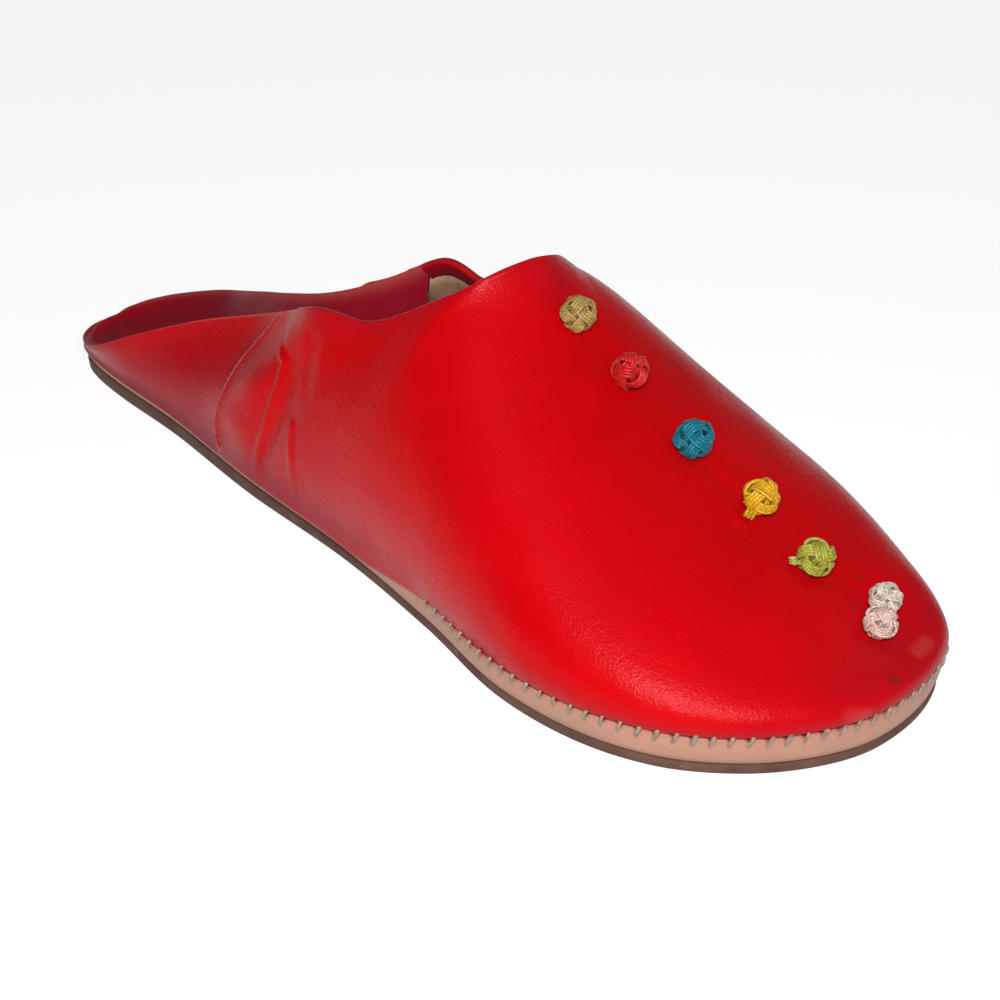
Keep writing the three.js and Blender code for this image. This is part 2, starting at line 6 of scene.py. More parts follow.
import bmesh
import bpy
import numpy as np
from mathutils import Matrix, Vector


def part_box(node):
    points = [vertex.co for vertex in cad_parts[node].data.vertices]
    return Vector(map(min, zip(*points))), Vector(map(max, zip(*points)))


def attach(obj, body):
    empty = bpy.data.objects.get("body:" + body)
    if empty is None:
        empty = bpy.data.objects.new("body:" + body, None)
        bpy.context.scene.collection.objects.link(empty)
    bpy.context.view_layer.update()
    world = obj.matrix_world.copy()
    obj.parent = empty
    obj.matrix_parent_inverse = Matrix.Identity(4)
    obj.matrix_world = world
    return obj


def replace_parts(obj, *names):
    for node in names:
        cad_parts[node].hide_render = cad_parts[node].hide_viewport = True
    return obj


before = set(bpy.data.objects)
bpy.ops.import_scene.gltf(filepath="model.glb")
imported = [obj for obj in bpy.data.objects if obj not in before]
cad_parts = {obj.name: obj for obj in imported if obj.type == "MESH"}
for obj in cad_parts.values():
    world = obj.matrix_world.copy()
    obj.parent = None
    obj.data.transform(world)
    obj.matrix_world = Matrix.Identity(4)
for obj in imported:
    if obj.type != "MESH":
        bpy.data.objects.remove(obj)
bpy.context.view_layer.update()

# Sizes of the part's solids that the shapes here are worked out from
LENGTH = 265
BALL_WIDTH = 94.4
INSTEP_HEIGHT = 72.8
SIDE_HEIGHT = 53.4
TOE_HEIGHT = 20.5
HEEL_OVERHANG = 0.8
TOE_OVERHANG = 0.9
UPPER_WALL = 1.5
SOLE_THICKNESS = 2.2
OUTSOLE_FRONT = 2.5
OUTSOLE_HEEL = 4.2
INSOLE_THICKNESS = 1.2
CUP_DEPTH = 5.0
CUP_FLARE = 1.8
CUP_SLOPE = 0.45
RIM_EDGE = 1.2
SHOULDER_RISE = 0.9
SHOULDER_OUT = 0.2
GAP = 0.3
FLAP_SLACK = 0.4
FLAP_CREST = 0.8
TOE_SPRING = 1.2
TOE_SPRING_START = 0.88
HEEL_LIFT = 0.5
HEEL_LIFT_END = 0.035

# Sections of the shoe. at is a share of the length from the heel. mid, half and x are shares of
# the ball's width and of the length, lean, drop and steep are degrees, the rest are shares.
OUTLINE = {
    "at": [0, 0.012, 0.04, 0.1, 0.2, 0.35, 0.5, 0.62, 0.73, 0.81, 0.87, 0.925, 0.97, 0.992,
           1],
    "mid": [0.011, 0.011, 0.013, 0.017, 0.019, 0.011, 0, -0.025, -0.062, -0.083, -0.095, -0.096,
            -0.082, -0.067, -0.06],
    "half": [0, 0.087, 0.129, 0.175, 0.225, 0.314, 0.375, 0.438, 0.498, 0.489, 0.44, 0.351,
             0.239, 0.141, 0],
}
SOLE_EDGE = {
    "at": [0, 0.15, 0.35, 0.55, 0.65, 0.75, 0.92, 1],
    "out": [0.25, 0.35, 0.45, 0.65, 0.85, 1, 0.9, 0.4],
    "cup": [0.16, 0.18, 0.28, 0.78, 0.95, 1, 1, 1],
    "heel": [1, 1, 0.85, 0.1, 0, 0, 0, 0],
}
MIDLINE = {
    "at": [0, 0.2, 0.4, 0.6, 0.8, 1],
    "mid": [0.008, -0.002, -0.03, -0.017, 0.004, -0.011],
}
QUARTER = {
    "at": [0, 0.02, 0.06, 0.11, 0.17, 0.23, 0.275, 0.302],
    "x": [0, 0.02, 0.058, 0.125, 0.205, 0.285, 0.365, 0.419],
    "half": [0, 0.104, 0.185, 0.214, 0.156, 0.117, 0.118, 0.246],
    "rise": [0, 0.005, 0.1, 0.28, 0.475, 0.64, 0.82, 1],
    "lean": [30, 28, 24, 18, 14, 11, 10, 10],
    "drop": [100, 98, 90, 84, 76, 70, 68, 72],
    "reach": [0.3] * 8,
    "steep": [4, 10, 24, 38, 52, 65, 72, 76],
    "foot": [0.045, 0.06, 0.1, 0.15, 0.215, 0.285, 0.35, 0.395],
    "slack": [0, 0.1, 0.6, 1, 1, 0.8, 0.4, 0.2],
}
THROAT = {
    "at": [0.302, 0.336, 0.4, 0.47, 0.54, 0.595, 0.63, 0.655],
    "x": [0.419, 0.434, 0.487, 0.53, 0.571, 0.596, 0.609, 0.613],
    "half": [0.246, 0.239, 0.231, 0.214, 0.186, 0.131, 0.067, 0],
    "rise": [0, 0.2, 0.175, 0.412, 0.722, 0.907, 0.979, 1],
    "lean": [10, 10, 10, 11, 12, 12, 12, 12],
    "drop": [72, 70, 62, 52, 40, 24, 10, 0],
    "reach": [0.3, 0.3, 0.3, 0.3, 0.31, 0.3, 0.29, 0.28],
}
VAMP = {
    "at": [0.655, 0.69, 0.74, 0.8, 0.86, 0.915, 0.96, 0.99, 1],
    "x": [0.613, 0.642, 0.692, 0.758, 0.822, 0.868, 0.9, 0.914, 0.918],
    "rise": [1, 0.83, 0.61, 0.4, 0.239, 0.117, 0.044, 0.01, 0],
    "lean": [12, 12, 12, 12, 10, 8, 4, 0, -2],
    "reach": [0.28, 0.3, 0.34, 0.38, 0.42, 0.46, 0.5, 0.53, 0.54],
    "lift": [0.45, 0.5, 0.55, 0.6, 0.65, 0.7, 0.75, 0.8, 0.8],
}


# The last's shape, as places on sections round the outline. A turn goes from 0 at the heel to 1
# at the toe, negative on the inner side.

def turn(at):
    return np.arccos(np.clip(1 - 2 * np.asarray(at, dtype=float), -1, 1)) / np.pi


def share(t):
    return (1 - np.cos(np.pi * t)) / 2


def column(rows, name, start="even", end="even"):
    places = turn(rows["at"])
    values = np.array(rows[name], dtype=float)
    secants = np.diff(values) / np.diff(places)
    steps = np.diff(places)

    def end_slope(kind, near, beyond):
        if kind == "even":
            return 0.0
        return near if kind == "odd" else near + (near - beyond) / 2

    slopes = np.zeros(len(values))
    slopes[0] = end_slope(start, secants[0], secants[1])
    slopes[-1] = end_slope(end, secants[-1], secants[-2])
    slopes[1:-1] = (secants[:-1] * steps[1:] + secants[1:] * steps[:-1]) / (steps[:-1] + steps[1:])

    def curve(t):
        place = np.clip(t, places[0], places[-1])
        i = np.clip(np.searchsorted(places, place, side="right") - 1, 0, len(steps) - 1)
        h = steps[i]
        u = (place - places[i]) / h
        rise = u * u * (3 - 2 * u)
        leave = u * (1 - u) ** 2 * h * slopes[i]
        arrive = u * u * (1 - u) * h * slopes[i + 1]
        return values[i] * (1 - rise) + values[i + 1] * rise + leave - arrive

    return curve


def columns(rows, start, end):
    curves = {}
    for name in rows:
        if name == "at":
            continue
        odd = "odd" if name == "half" else "even"
        first = odd if start == "tip" else start
        last = odd if end == "tip" else end
        curves[name] = column(rows, name, first, last)
    return curves


outline = columns(OUTLINE, "tip", "tip")
sole_edge = columns(SOLE_EDGE, "tip", "tip")
quarter = columns(QUARTER, "tip", "free")
throat = columns(THROAT, "free", "tip")
vamp = columns(VAMP, "free", "tip")
midline = column(MIDLINE, "mid")
SEAM = QUARTER["at"][-1]
CROWN = THROAT["at"][-1]
MID_VAMP = 0.78


def vec(x, y, z):
    x, y, z = np.broadcast_arrays(x, y, z)
    return np.stack([x, y, z], axis=-1).astype(float)


def unit(v):
    return v / np.maximum(np.linalg.norm(v, axis=-1, keepdims=True), 1e-12)


def wrap(s):
    return np.where(s > 1, s - 2, np.where(s < -1, s + 2, s))


def edge_point(s):
    t = np.abs(s)
    length = LENGTH - HEEL_OVERHANG - TOE_OVERHANG
    x = HEEL_OVERHANG - LENGTH / 2 + length * share(t)
    y = BALL_WIDTH * (outline["mid"](t) + np.sign(s) * outline["half"](t))
    return vec(x, y, 0.0)


def edge_normal(s):
    step = 0.001
    along = edge_point(wrap(s + step)) - edge_point(wrap(s - step))
    return unit(vec(-along[..., 1], along[..., 0], 0.0))


def at_edge(s, out, z):
    point = edge_point(s) + edge_normal(s) * np.asarray(out)[..., None]
    point[..., 2] = z
    return point


def station(x):
    return np.clip((x + LENGTH / 2) / LENGTH, 0, 1)


def outsole_bottom(x):
    toe = np.maximum(0, (station(x) - TOE_SPRING_START) / (1 - TOE_SPRING_START))
    heel = np.maximum(0, (HEEL_LIFT_END - station(x)) / HEEL_LIFT_END)
    return TOE_SPRING * toe ** 2 + HEEL_LIFT * heel ** 2


def outsole_top(x):
    extra = (OUTSOLE_HEEL - OUTSOLE_FRONT) * sole_edge["heel"](turn(station(x)))
    return outsole_bottom(x) + OUTSOLE_FRONT + extra


def sole_bottom(x):
    return outsole_top(x) + GAP


def sole_floor(x):
    return sole_bottom(x) + SOLE_THICKNESS


def flap_floor(x):
    return sole_floor(x) + GAP + INSOLE_THICKNESS + GAP + UPPER_WALL


def rim_height(s):
    return sole_floor(edge_point(s)[..., 0]) + CUP_DEPTH * sole_edge["cup"](np.abs(s))


def rim_out(s):
    return CUP_FLARE * sole_edge["out"](np.abs(s))


def cup_inner(s, z):
    return rim_out(s) - RIM_EDGE - CUP_SLOPE * (rim_height(s) - z)


def top_point(x, half, z, side):
    y = BALL_WIDTH * (midline(turn(x)) + side * half)
    return vec(LENGTH * (x - 0.5), y, z)


def out_and_up(s, angle):
    direction = edge_normal(s) * np.cos(angle)[..., None]
    direction[..., 2] = np.sin(angle)
    return direction


def shoulder(s):
    return at_edge(s, rim_out(s) + SHOULDER_OUT, rim_height(s) + SHOULDER_RISE)


def lerp(a, b, u):
    return a + (b - a) * u


def smooth_step(values):
    part = np.clip(values, 0, 1)
    return part * part * (3 - 2 * part)


def ridge_point(s):
    t = np.abs(s)
    heel = flap_floor(-LENGTH / 2) + FLAP_SLACK
    z = lerp(heel, SIDE_HEIGHT, quarter["rise"](t))
    return top_point(quarter["x"](t), quarter["half"](t), z, np.sign(s))


def side_curve(s, top, table, lift):
    t = np.abs(s)
    foot = shoulder(s)
    climb = (top[..., 2] - foot[..., 2]) * lift
    span = np.linalg.norm(top - foot, axis=-1) * table["reach"](t)
    low = foot + out_and_up(s, np.pi / 2 - np.radians(table["lean"](t))) * climb[..., None]
    high = top + out_and_up(s, -np.radians(table["drop"](t))) * span[..., None]
    return foot, low, high, top


SIDE_LIFT = 0.45


def quarter_curve(s):
    return side_curve(s, ridge_point(s), quarter, SIDE_LIFT)


def throat_curve(s):
    t = np.abs(s)
    z = lerp(SIDE_HEIGHT, INSTEP_HEIGHT, throat["rise"](t))
    top = top_point(throat["x"](t), throat["half"](t), z, np.sign(s))
    return side_curve(s, top, throat, SIDE_LIFT)


def crest_point(t):
    z = lerp(TOE_HEIGHT, INSTEP_HEIGHT, vamp["rise"](t))
    return top_point(vamp["x"](t), 0, z, 0)


def crest_slope(t):
    step = 0.002
    start = crest_point(np.maximum(turn(CROWN), t - step))
    end = crest_point(np.minimum(1 - step / 2, t + step))
    return (end[..., 2] - start[..., 2]) / (end[..., 0] - start[..., 0])


def crest_share(t):
    """How much of the crest's slope a section follows: none at the collar, all of it by mid-vamp."""
    return smooth_step((t - turn(CROWN)) / (turn(MID_VAMP) - turn(CROWN)))


def vamp_curve(s):
    t = np.abs(s)
    foot = shoulder(s)
    top = crest_point(t)
    climb = (top[..., 2] - foot[..., 2]) * vamp["lift"](t)
    low = foot + out_and_up(s, np.pi / 2 - np.radians(vamp["lean"](t))) * climb[..., None]
    out = edge_normal(s)
    out[..., 2] = crest_share(t) * crest_slope(np.minimum(t, 1 - 0.002)) * out[..., 0]
    reach = np.linalg.norm(top - foot, axis=-1) * vamp["reach"](t)
    return foot, low, top + out * reach[..., None], top


def wall_curve(s):
    t = np.abs(np.asarray(s, dtype=float))[..., None]
    parts = zip(quarter_curve(s), throat_curve(s), vamp_curve(s))
    return [np.where(t <= turn(SEAM), q, np.where(t <= turn(CROWN), a, v)) for q, a, v in parts]


def flap_curve(s):
    t = np.abs(s)
    ridge = ridge_point(s)
    foot_x = LENGTH * (quarter["foot"](t) - 0.5)
    z = flap_floor(foot_x) + FLAP_CREST * quarter["slack"](t)
    foot = top_point(quarter["foot"](t), 0, z, 0)
    inward = foot - ridge
    inward[..., 2] = 0
    width = np.linalg.norm(inward, axis=-1)
    inward = unit(inward)
    steep = np.radians(quarter["steep"](t))
    hang = 0.45 * np.hypot(width, ridge[..., 2] - z)
    high = ridge + inward * (hang * np.cos(steep))[..., None]
    high[..., 2] = np.maximum(ridge[..., 2] - hang * np.sin(steep), np.minimum(z, ridge[..., 2]))
    low = foot - inward * (0.55 * width)[..., None]
    return ridge, high, low, foot


def bezier(controls, u):
    a, b, c, d = controls
    u = np.asarray(u, dtype=float)[..., None]
    v = 1 - u
    return a * v ** 3 + 3 * b * v * v * u + 3 * c * v * u * u + d * u ** 3


def surface(family, s, u):
    return bezier(family(np.asarray(s, dtype=float)), u)


def surface_normal(family, s, u):
    step = 0.004
    along = surface(family, wrap(s + step), u) - surface(family, wrap(s - step), u)
    up = surface(family, s, np.minimum(1, u + step)) - surface(family, s, np.maximum(0, u - step))
    return unit(np.cross(up, along))


# The part's frame has its origin under the middle of the whole shoe. The outsole, which
# follows the outline exactly, shows how far that is from the middle used here.
def frame_shift():
    turns = np.linspace(-1, 1, 1441)
    low = np.array(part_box("outsole")[0]) * 1000
    return low - np.array([*edge_point(turns)[:, :2].min(axis=0), 0])


SHIFT = frame_shift()


def to_frame(points):
    return (np.asarray(points) + SHIFT) / 1000


# Paths and meshes

def distances(path):
    """How far along a path each of its points is."""
    return np.concatenate([[0], np.cumsum(np.linalg.norm(np.diff(path, axis=0), axis=1))])


def between(steps, places, points):
    """Points of a path at other places along it."""
    return np.stack([np.interp(steps, places, points[:, k]) for k in range(3)], axis=1)


def ease(grid, weight, passes=1):
    """Evens a grid out along its first axis, by the weights of its inner points."""
    for _ in range(passes):
        middle = (grid[:-2] + 2 * grid[1:-1] + grid[2:]) / 4
        grid[1:-1] = grid[1:-1] * (1 - weight) + middle * weight
    return grid


WELD = 0.02


def grid_quads(columns_count, rows_count, closed=False):
    quads = []
    last = columns_count if closed else columns_count - 1
    for i in range(last):
        j = (i + 1) % columns_count
        for k in range(rows_count - 1):
            quads.append((i * rows_count + k, j * rows_count + k,
                          j * rows_count + k + 1, i * rows_count + k + 1))
    return quads


class Sheets:
    """Gathers grids of points into one mesh, each with its material slot."""

    def __init__(self):
        self.points = []
        self.faces = []
        self.slots = []
        self.marks = {}
        self.count = 0

    def add(self, grid, slot=0, flip=False, closed=False, **marks):
        n, m = grid.shape[:2]
        quads = grid_quads(n, m, closed)
        for quad in quads:
            corners = [index + self.count for index in quad]
            self.faces.append(corners[::-1] if flip else corners)
        self.slots += [slot] * len(quads)
        self.points.append(grid.reshape(-1, 3))
        for name in set(self.marks) | set(marks):
            before = self.marks.setdefault(name, [np.zeros(self.count)])
            value = marks.get(name, 0.0)
            before.append(np.broadcast_to(value, (n, m)).reshape(-1).astype(float))
        self.count += n * m

    def build(self, name, materials, weld=WELD):
        mesh = bpy.data.meshes.new(name)
        points = np.concatenate(self.points)
        mesh.from_pydata(to_frame(points).tolist(), [], self.faces)
        for material in materials:
            mesh.materials.append(material)
        mesh.polygons.foreach_set("material_index", self.slots)
        mesh.polygons.foreach_set("use_smooth", [True] * len(self.faces))
        for mark, values in self.marks.items():
            layer = mesh.attributes.new(mark, "FLOAT", "POINT")
            layer.data.foreach_set("value", np.concatenate(values).astype(np.float32))
        obj = bpy.data.objects.new(name, mesh)
        bpy.context.scene.collection.objects.link(obj)
        if weld:
            weld_points(obj, weld / 1000)
        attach(obj, "root")
        return obj


def weld_points(obj, distance):
    work = bmesh.new()
    work.from_mesh(obj.data)
    bmesh.ops.remove_doubles(work, verts=work.verts, dist=distance)
    bmesh.ops.dissolve_degenerate(work, edges=work.edges, dist=distance / 10)
    work.to_mesh(obj.data)
    work.free()
    obj.data.update()


def tube_grid(path, radius, sides, flatten=1.0):
    """A closed ring of points round each point of a path."""
    path = np.asarray(path, dtype=float)
    along = unit(np.gradient(path, axis=0))
    side = np.zeros_like(path)
    guide = np.array([0.0, 0.0, 1.0])
    if abs(along[0] @ guide) > 0.9:
        guide = np.array([1.0, 0.0, 0.0])
    for i, direction in enumerate(along):
        guide = guide - direction * (direction @ guide)
        guide = guide / np.linalg.norm(guide)
        side[i] = guide
    other = np.cross(along, side)
    angles = np.linspace(0, 2 * np.pi, sides + 1)
    radius = np.broadcast_to(radius, len(path))[:, None, None]
    ring = np.cos(angles)[None, :, None] * side[:, None] * flatten
    ring = ring + np.sin(angles)[None, :, None] * other[:, None]
    return path[:, None] + ring * radius


# Materials

def new_material(name):
    """An empty material with its node tree, its shader and a place on the object."""
    material = bpy.data.materials.new(name)
    material.use_nodes = True
    tree = material.node_tree
    tree.nodes.clear()
    output = tree.nodes.new("ShaderNodeOutputMaterial")
    shader = tree.nodes.new("ShaderNodeBsdfPrincipled")
    tree.links.new(shader.outputs["BSDF"], output.inputs["Surface"])
    return material, tree, shader, tree.nodes.new("ShaderNodeTexCoord").outputs["Object"]


def dress(tree, shader, color, rough, specular, normal):
    """Gives a shader its looks, each a number or a node's output."""
    names = ("Base Color", "Roughness", "Specular IOR Level", "Normal")
    for name, value in zip(names, (color, rough, specular, normal)):
        if isinstance(value, float):
            shader.inputs[name].default_value = value
        else:
            tree.links.new(value, shader.inputs[name])


def noise(tree, place, scale, detail=3.0, roughness=0.55):
    node = tree.nodes.new("ShaderNodeTexNoise")
    node.inputs["Scale"].default_value = scale
    node.inputs["Detail"].default_value = detail
    node.inputs["Roughness"].default_value = roughness
    tree.links.new(place, node.inputs["Vector"])
    return node.outputs["Fac"]


def cells(tree, place, scale):
    node = tree.nodes.new("ShaderNodeTexVoronoi")
    node.inputs["Scale"].default_value = scale
    tree.links.new(place, node.inputs["Vector"])
    return node.outputs["Distance"]


def ramp(tree, value, stops):
    node = tree.nodes.new("ShaderNodeValToRGB")
    elements = node.color_ramp.elements
    while len(elements) < len(stops):
        elements.new(0.5)
    for element, (position, level) in zip(elements, stops):
        element.position = position
        color = level if isinstance(level, tuple) else (level, level, level)
        element.color = (*color, 1)
    tree.links.new(value, node.inputs["Fac"])
    return node.outputs["Color"]


def spread(tree, place, scale, low, high, detail=3.0, roughness=0.55):
    """Noise drawn out from 0 at low to 1 at high."""
    return ramp(tree, noise(tree, place, scale, detail, roughness), [(low, 0.0), (high, 1.0)])


def math_node(tree, operation, a, b):
    node = tree.nodes.new("ShaderNodeMath")
    node.operation = operation
    for socket, value in zip(node.inputs, (a, b)):
        if isinstance(value, (int, float)):
            socket.default_value = value
        else:
            tree.links.new(value, socket)
    return node.outputs["Value"]


def mix_color(tree, factor, a, b):
    node = tree.nodes.new("ShaderNodeMix")
    node.data_type = "RGBA"
    for socket, value in zip((node.inputs[0], node.inputs[6], node.inputs[7]), (factor, a, b)):
        if isinstance(value, tuple):
            socket.default_value = (*value, 1)
        elif isinstance(value, (int, float)):
            socket.default_value = value
        else:
            tree.links.new(value, socket)
    return node.outputs[2]


def mark(tree, name):
    node = tree.nodes.new("ShaderNodeAttribute")
    node.attribute_name = name
    return node.outputs["Fac"]


def bump(tree, height, distance, strength=1.0, under=None):
    node = tree.nodes.new("ShaderNodeBump")
    node.inputs["Distance"].default_value = distance
    node.inputs["Strength"].default_value = strength
    tree.links.new(height, node.inputs["Height"])
    if under is not None:
        tree.links.new(under, node.inputs["Normal"])
    return node.outputs["Normal"]


RED = (0.47, 0.0004, 0.0014)
RED_DEEP = (0.33, 0.0005, 0.0025)
RED_BRIGHT = (0.54, 0.0008, 0.003)
# Pale pink for rubbed leather and for painted highlights along folds and raised edges
RED_RUB_AND_HIGHLIGHT = (0.50, 0.10, 0.095)
# Painted shade: a dark purplish red for leather in shade or turned away from the light
RED_SHADE = (0.15, 0.008, 0.022)
# Dark brown for stains, and for painted shade at the foot of the lap's edge along the side seams
DIRT_AND_SEAM_SHADE = (0.08, 0.012, 0.014)


def red_leather():
    material, tree, shader, place = new_material("red_leather")
    clouds = spread(tree, place, 28, 0.3, 0.7, 4)
    color = mix_color(tree, clouds, RED_DEEP, RED_BRIGHT)
    color = mix_color(tree, 0.62, color, RED)
    fine = spread(tree, place, 420, 0.35, 0.72, 4, 0.7)
    color = mix_color(tree, math_node(tree, "MULTIPLY", fine, 0.16), color, RED_DEEP)
    # Painted shade: this mark darkens the red towards the purplish shade colour, and below it also makes
    # the leather rougher
    color = mix_color(tree, mark(tree, "dull"), color, RED_SHADE)
    speckle = ramp(tree, noise(tree, place, 900, 5, 0.75), [(0.35, 0.55), (0.6, 1.0)])
    # Wear and painted highlight: the mark lightens the red towards pale pink in speckles
    worn = math_node(tree, "MULTIPLY", mark(tree, "worn"), speckle)
    color = mix_color(tree, worn, color, RED_RUB_AND_HIGHLIGHT)
    # Stains, and painted shade along the side seams
    color = mix_color(tree, mark(tree, "dirt"), color, DIRT_AND_SEAM_SHADE)
    gloss = ramp(tree, noise(tree, place, 60, 3), [(0.3, 0.25), (0.7, 0.38)])
    rough = math_node(tree, "ADD", gloss, math_node(tree, "MULTIPLY", mark(tree, "dull"), 0.16))
    shader.inputs["Specular Tint"].default_value = (1.0, 0.5, 0.56, 1)
    shader.inputs["Sheen Weight"].default_value = 0.02
    shader.inputs["Sheen Roughness"].default_value = 0.45
    shader.inputs["Sheen Tint"].default_value = (0.9, 0.75, 0.85, 1)
    grain = ramp(tree, cells(tree, place, 1500), [(0.0, 1.0), (0.62, 0.0)])
    pores = noise(tree, place, 2800, 2)
    fine_relief = math_node(tree, "ADD", grain, math_node(tree, "MULTIPLY", pores, 0.5))
    patches = ramp(tree, noise(tree, place, 45, 3), [(0.42, 0.1), (0.62, 1.0)])
    crinkle = math_node(tree, "MULTIPLY", noise(tree, place, 620, 4, 0.7), patches)
    broad = bump(tree, noise(tree, place, 170, 3, 0.6), 0.0004, 0.25)
    creased = bump(tree, crinkle, 0.0003, 0.5, broad)
    dress(tree, shader, color, rough, 0.13, bump(tree, fine_relief, 0.00010, 0.4, creased))
    return material


def lining_leather():
    material, tree, shader, place = new_material("beige_lining")
    stains = spread(tree, place, 55, 0.42, 0.62, 5, 0.6)
    color = mix_color(tree, stains, (0.66, 0.42, 0.27), (0.36, 0.17, 0.10))
    nap = noise(tree, place, 1400, 4, 0.7)
    dress(tree, shader, color, 0.85, 0.2, bump(tree, nap, 0.0002, 0.5))
    return material


def sole_leather():
    material, tree, shader, place = new_material("pale_sole_leather")
    clouds = spread(tree, place, 70, 0.3, 0.7, 4)
    color = mix_color(tree, clouds, (0.46, 0.225, 0.148), (0.39, 0.195, 0.13))
    flecks = spread(tree, place, 500, 0.56, 0.75, 4, 0.7)
    color = mix_color(tree, math_node(tree, "MULTIPLY", flecks, 0.4), color, (0.30, 0.15, 0.10))
    # Painted shade: darker and redder towards the top of the sole's edge
    color = mix_color(tree, mark(tree, "dull"), color, (0.30, 0.085, 0.065))
    # Painted shade at the stitch holes, and darker towards the edge's foot
    color = mix_color(tree, mark(tree, "dirt"), color, (0.07, 0.03, 0.024))
    fibres = noise(tree, place, 1100, 4, 0.65)
    broad = bump(tree, noise(tree, place, 160, 3), 0.0006, 0.35)
    dress(tree, shader, color, 0.55, 0.35, bump(tree, fibres, 0.00015, 0.5, broad))
    return material


# Painted shadow in part: the outsole's dark brown also stands for the dark band of shadow under the
# sole's edge
def outsole_and_shadow():
    material, tree, shader, place = new_material("brown_outsole_and_painted_shadow")
    clouds = spread(tree, place, 90, 0.3, 0.7, 5, 0.6)
    color = mix_color(tree, clouds, (0.075, 0.034, 0.024), (0.125, 0.062, 0.045))
    scuffs = spread(tree, place, 330, 0.58, 0.70, 5, 0.7)
    color = mix_color(tree, math_node(tree, "MULTIPLY", scuffs, 0.5), color, (0.18, 0.12, 0.09))
    fibres = noise(tree, place, 900, 4, 0.7)
    dress(tree, shader, color, 0.8, 0.25, bump(tree, fibres, 0.0002, 0.6))
    return material


def thread(name, color, rough=0.42):
    material, tree, shader, place = new_material(name)
    dark = tuple(0.45 * level for level in color)
    twist = spread(tree, place, 1500, 0.3, 0.62, 3, 0.6)
    shader.inputs["Sheen Weight"].default_value = 0.1
    shader.inputs["Sheen Roughness"].default_value = 0.3
    fibres = noise(tree, place, 3500, 2, 0.6)
    color = mix_color(tree, twist, dark, color)
    dress(tree, shader, color, rough, 0.3, bump(tree, fibres, 0.00012, 0.6))
    return material


# Relief of the leather: strokes and dents, each placed on the shoe in millimetres

def near_stroke(points, path):
    """Distance from points to a line through the path's places."""
    best = np.full(points.shape[:-1], 1e9)
    for a, b in zip(path[:-1], path[1:]):
        a, b = np.array(a, dtype=float), np.array(b, dtype=float)
        along = b - a
        u = np.clip(((points - a) @ along) / (along @ along), 0, 1)
        gap = np.linalg.norm(points - a - u[..., None] * along, axis=-1)
        best = np.minimum(best, gap)
    return best


# height and width in millimetres. A fold has troughs beside it, a trough hasn't.
FOLDS = [
    {"path": [(-30.5, -20.5, 44.5), (-24.3, -29.4, 43), (-25.4, -31.2, 36.3), (-29.4, -32.4, 24.1),
              (-35.4, -31.1, 13.1)],
     "height": 1.0, "width": 1.0},
    {"path": [(-27.5, -22, 45), (-23.2, -30, 40), (-24.2, -31.5, 35), (-26, -32, 30)],
     "height": 0.5, "width": 0.7},
    {"path": [(-18.4, -33.4, 29.4), (-17.8, -34.3, 17.4)], "height": 0.7, "width": 1.4},
    {"path": [(-27, 22, 44), (-30, 30, 34), (-36, 33, 20)], "height": 1.2, "width": 2.4},
]
TROUGHS = [
    {"path": [(-20.5, -31, 40), (-23, -32, 32), (-26.5, -32.5, 24), (-32.5, -31.8, 13)],
     "height": 0.6, "width": 2.1},
    {"path": [(-21, -30, 43), (-23.5, -32, 34), (-27, -32.5, 25), (-32, -31.8, 15)],
     "height": 1.2, "width": 5.5},
    {"path": [(-15.1, -27.7, 50), (-15.4, -31.4, 38.6), (-19.3, -31.9, 33)],
     "height": 0.5, "width": 2.6},
    {"path": [(42, -9.5, 58.5), (51, -6, 52)], "height": 0.25, "width": 1.8},
    {"path": [(57, -3, 48), (64, -2, 44)], "height": 0.2, "width": 1.6},
    {"path": [(73, -1, 39), (82, -1, 34)], "height": 0.2, "width": 1.6},
]
BULGES = [
    {"place": (-36, -28, 33), "height": 0.7, "width": 6},
    {"place": (-40, -30, 21), "height": 0.8, "width": 7},
    {"place": (-27, -27, 47), "height": 0.6, "width": 5},
    {"place": (-38, 32, 22), "height": 1.0, "width": 9},
    {"place": (60, -38, 27), "height": 0.8, "width": 16},
    {"place": (20, -30, 48), "height": -0.7, "width": 14},
]


def relief(points):
    height = np.zeros(points.shape[:-1])
    for fold in FOLDS:
        gap = near_stroke(points, fold["path"]) / fold["width"]
        height += fold["height"] * (np.exp(-gap ** 2) - 0.3 * np.exp(-(gap / 3) ** 2))
    for trough in TROUGHS:
        gap = near_stroke(points, trough["path"]) / trough["width"]
        height -= trough["height"] * np.exp(-gap ** 2)
    for bulge in BULGES:
        gap = np.linalg.norm(points - np.array(bulge["place"]), axis=-1) / bulge["width"]
        height += bulge["height"] * np.exp(-gap ** 2)
    return height + waves(points)


def waves(points):
    """Slow unevenness of stretched leather."""
    x, y, z = np.moveaxis(points, -1, 0)
    long = np.sin(x / 13 + 0.7 * np.sin(y / 17)) * np.sin(y / 11 + z / 15 + 1.3)
    short = np.sin(x / 5.3 + y / 7.1 + 2.0) * np.sin(z / 6.2 - y / 5.9)
    return 0.22 * long + 0.07 * short


# The upper: one wall round the shoe, a lap at the side seams and the folded quarter
SEAM_TURN = turn(SEAM)
CROWN_TURN = turn(CROWN)
LAP_HEIGHT = 1.0
LAP_WIDTH = 0.006
LAP_FADE = 0.05
BASE_COLUMNS = 190
SEAM_COLUMNS = 180
SEAM_BAND = (-0.04, 0.09)
WALL_ROWS = 84
LINING_TOP = 0.9
RIDGE_LIFT = 0.25
COLLAR_BAND = 3.4
# Turn at which the folded quarter ends inside the far side, and the collar's rolled edge begins
FAR_LAP = 0.3835


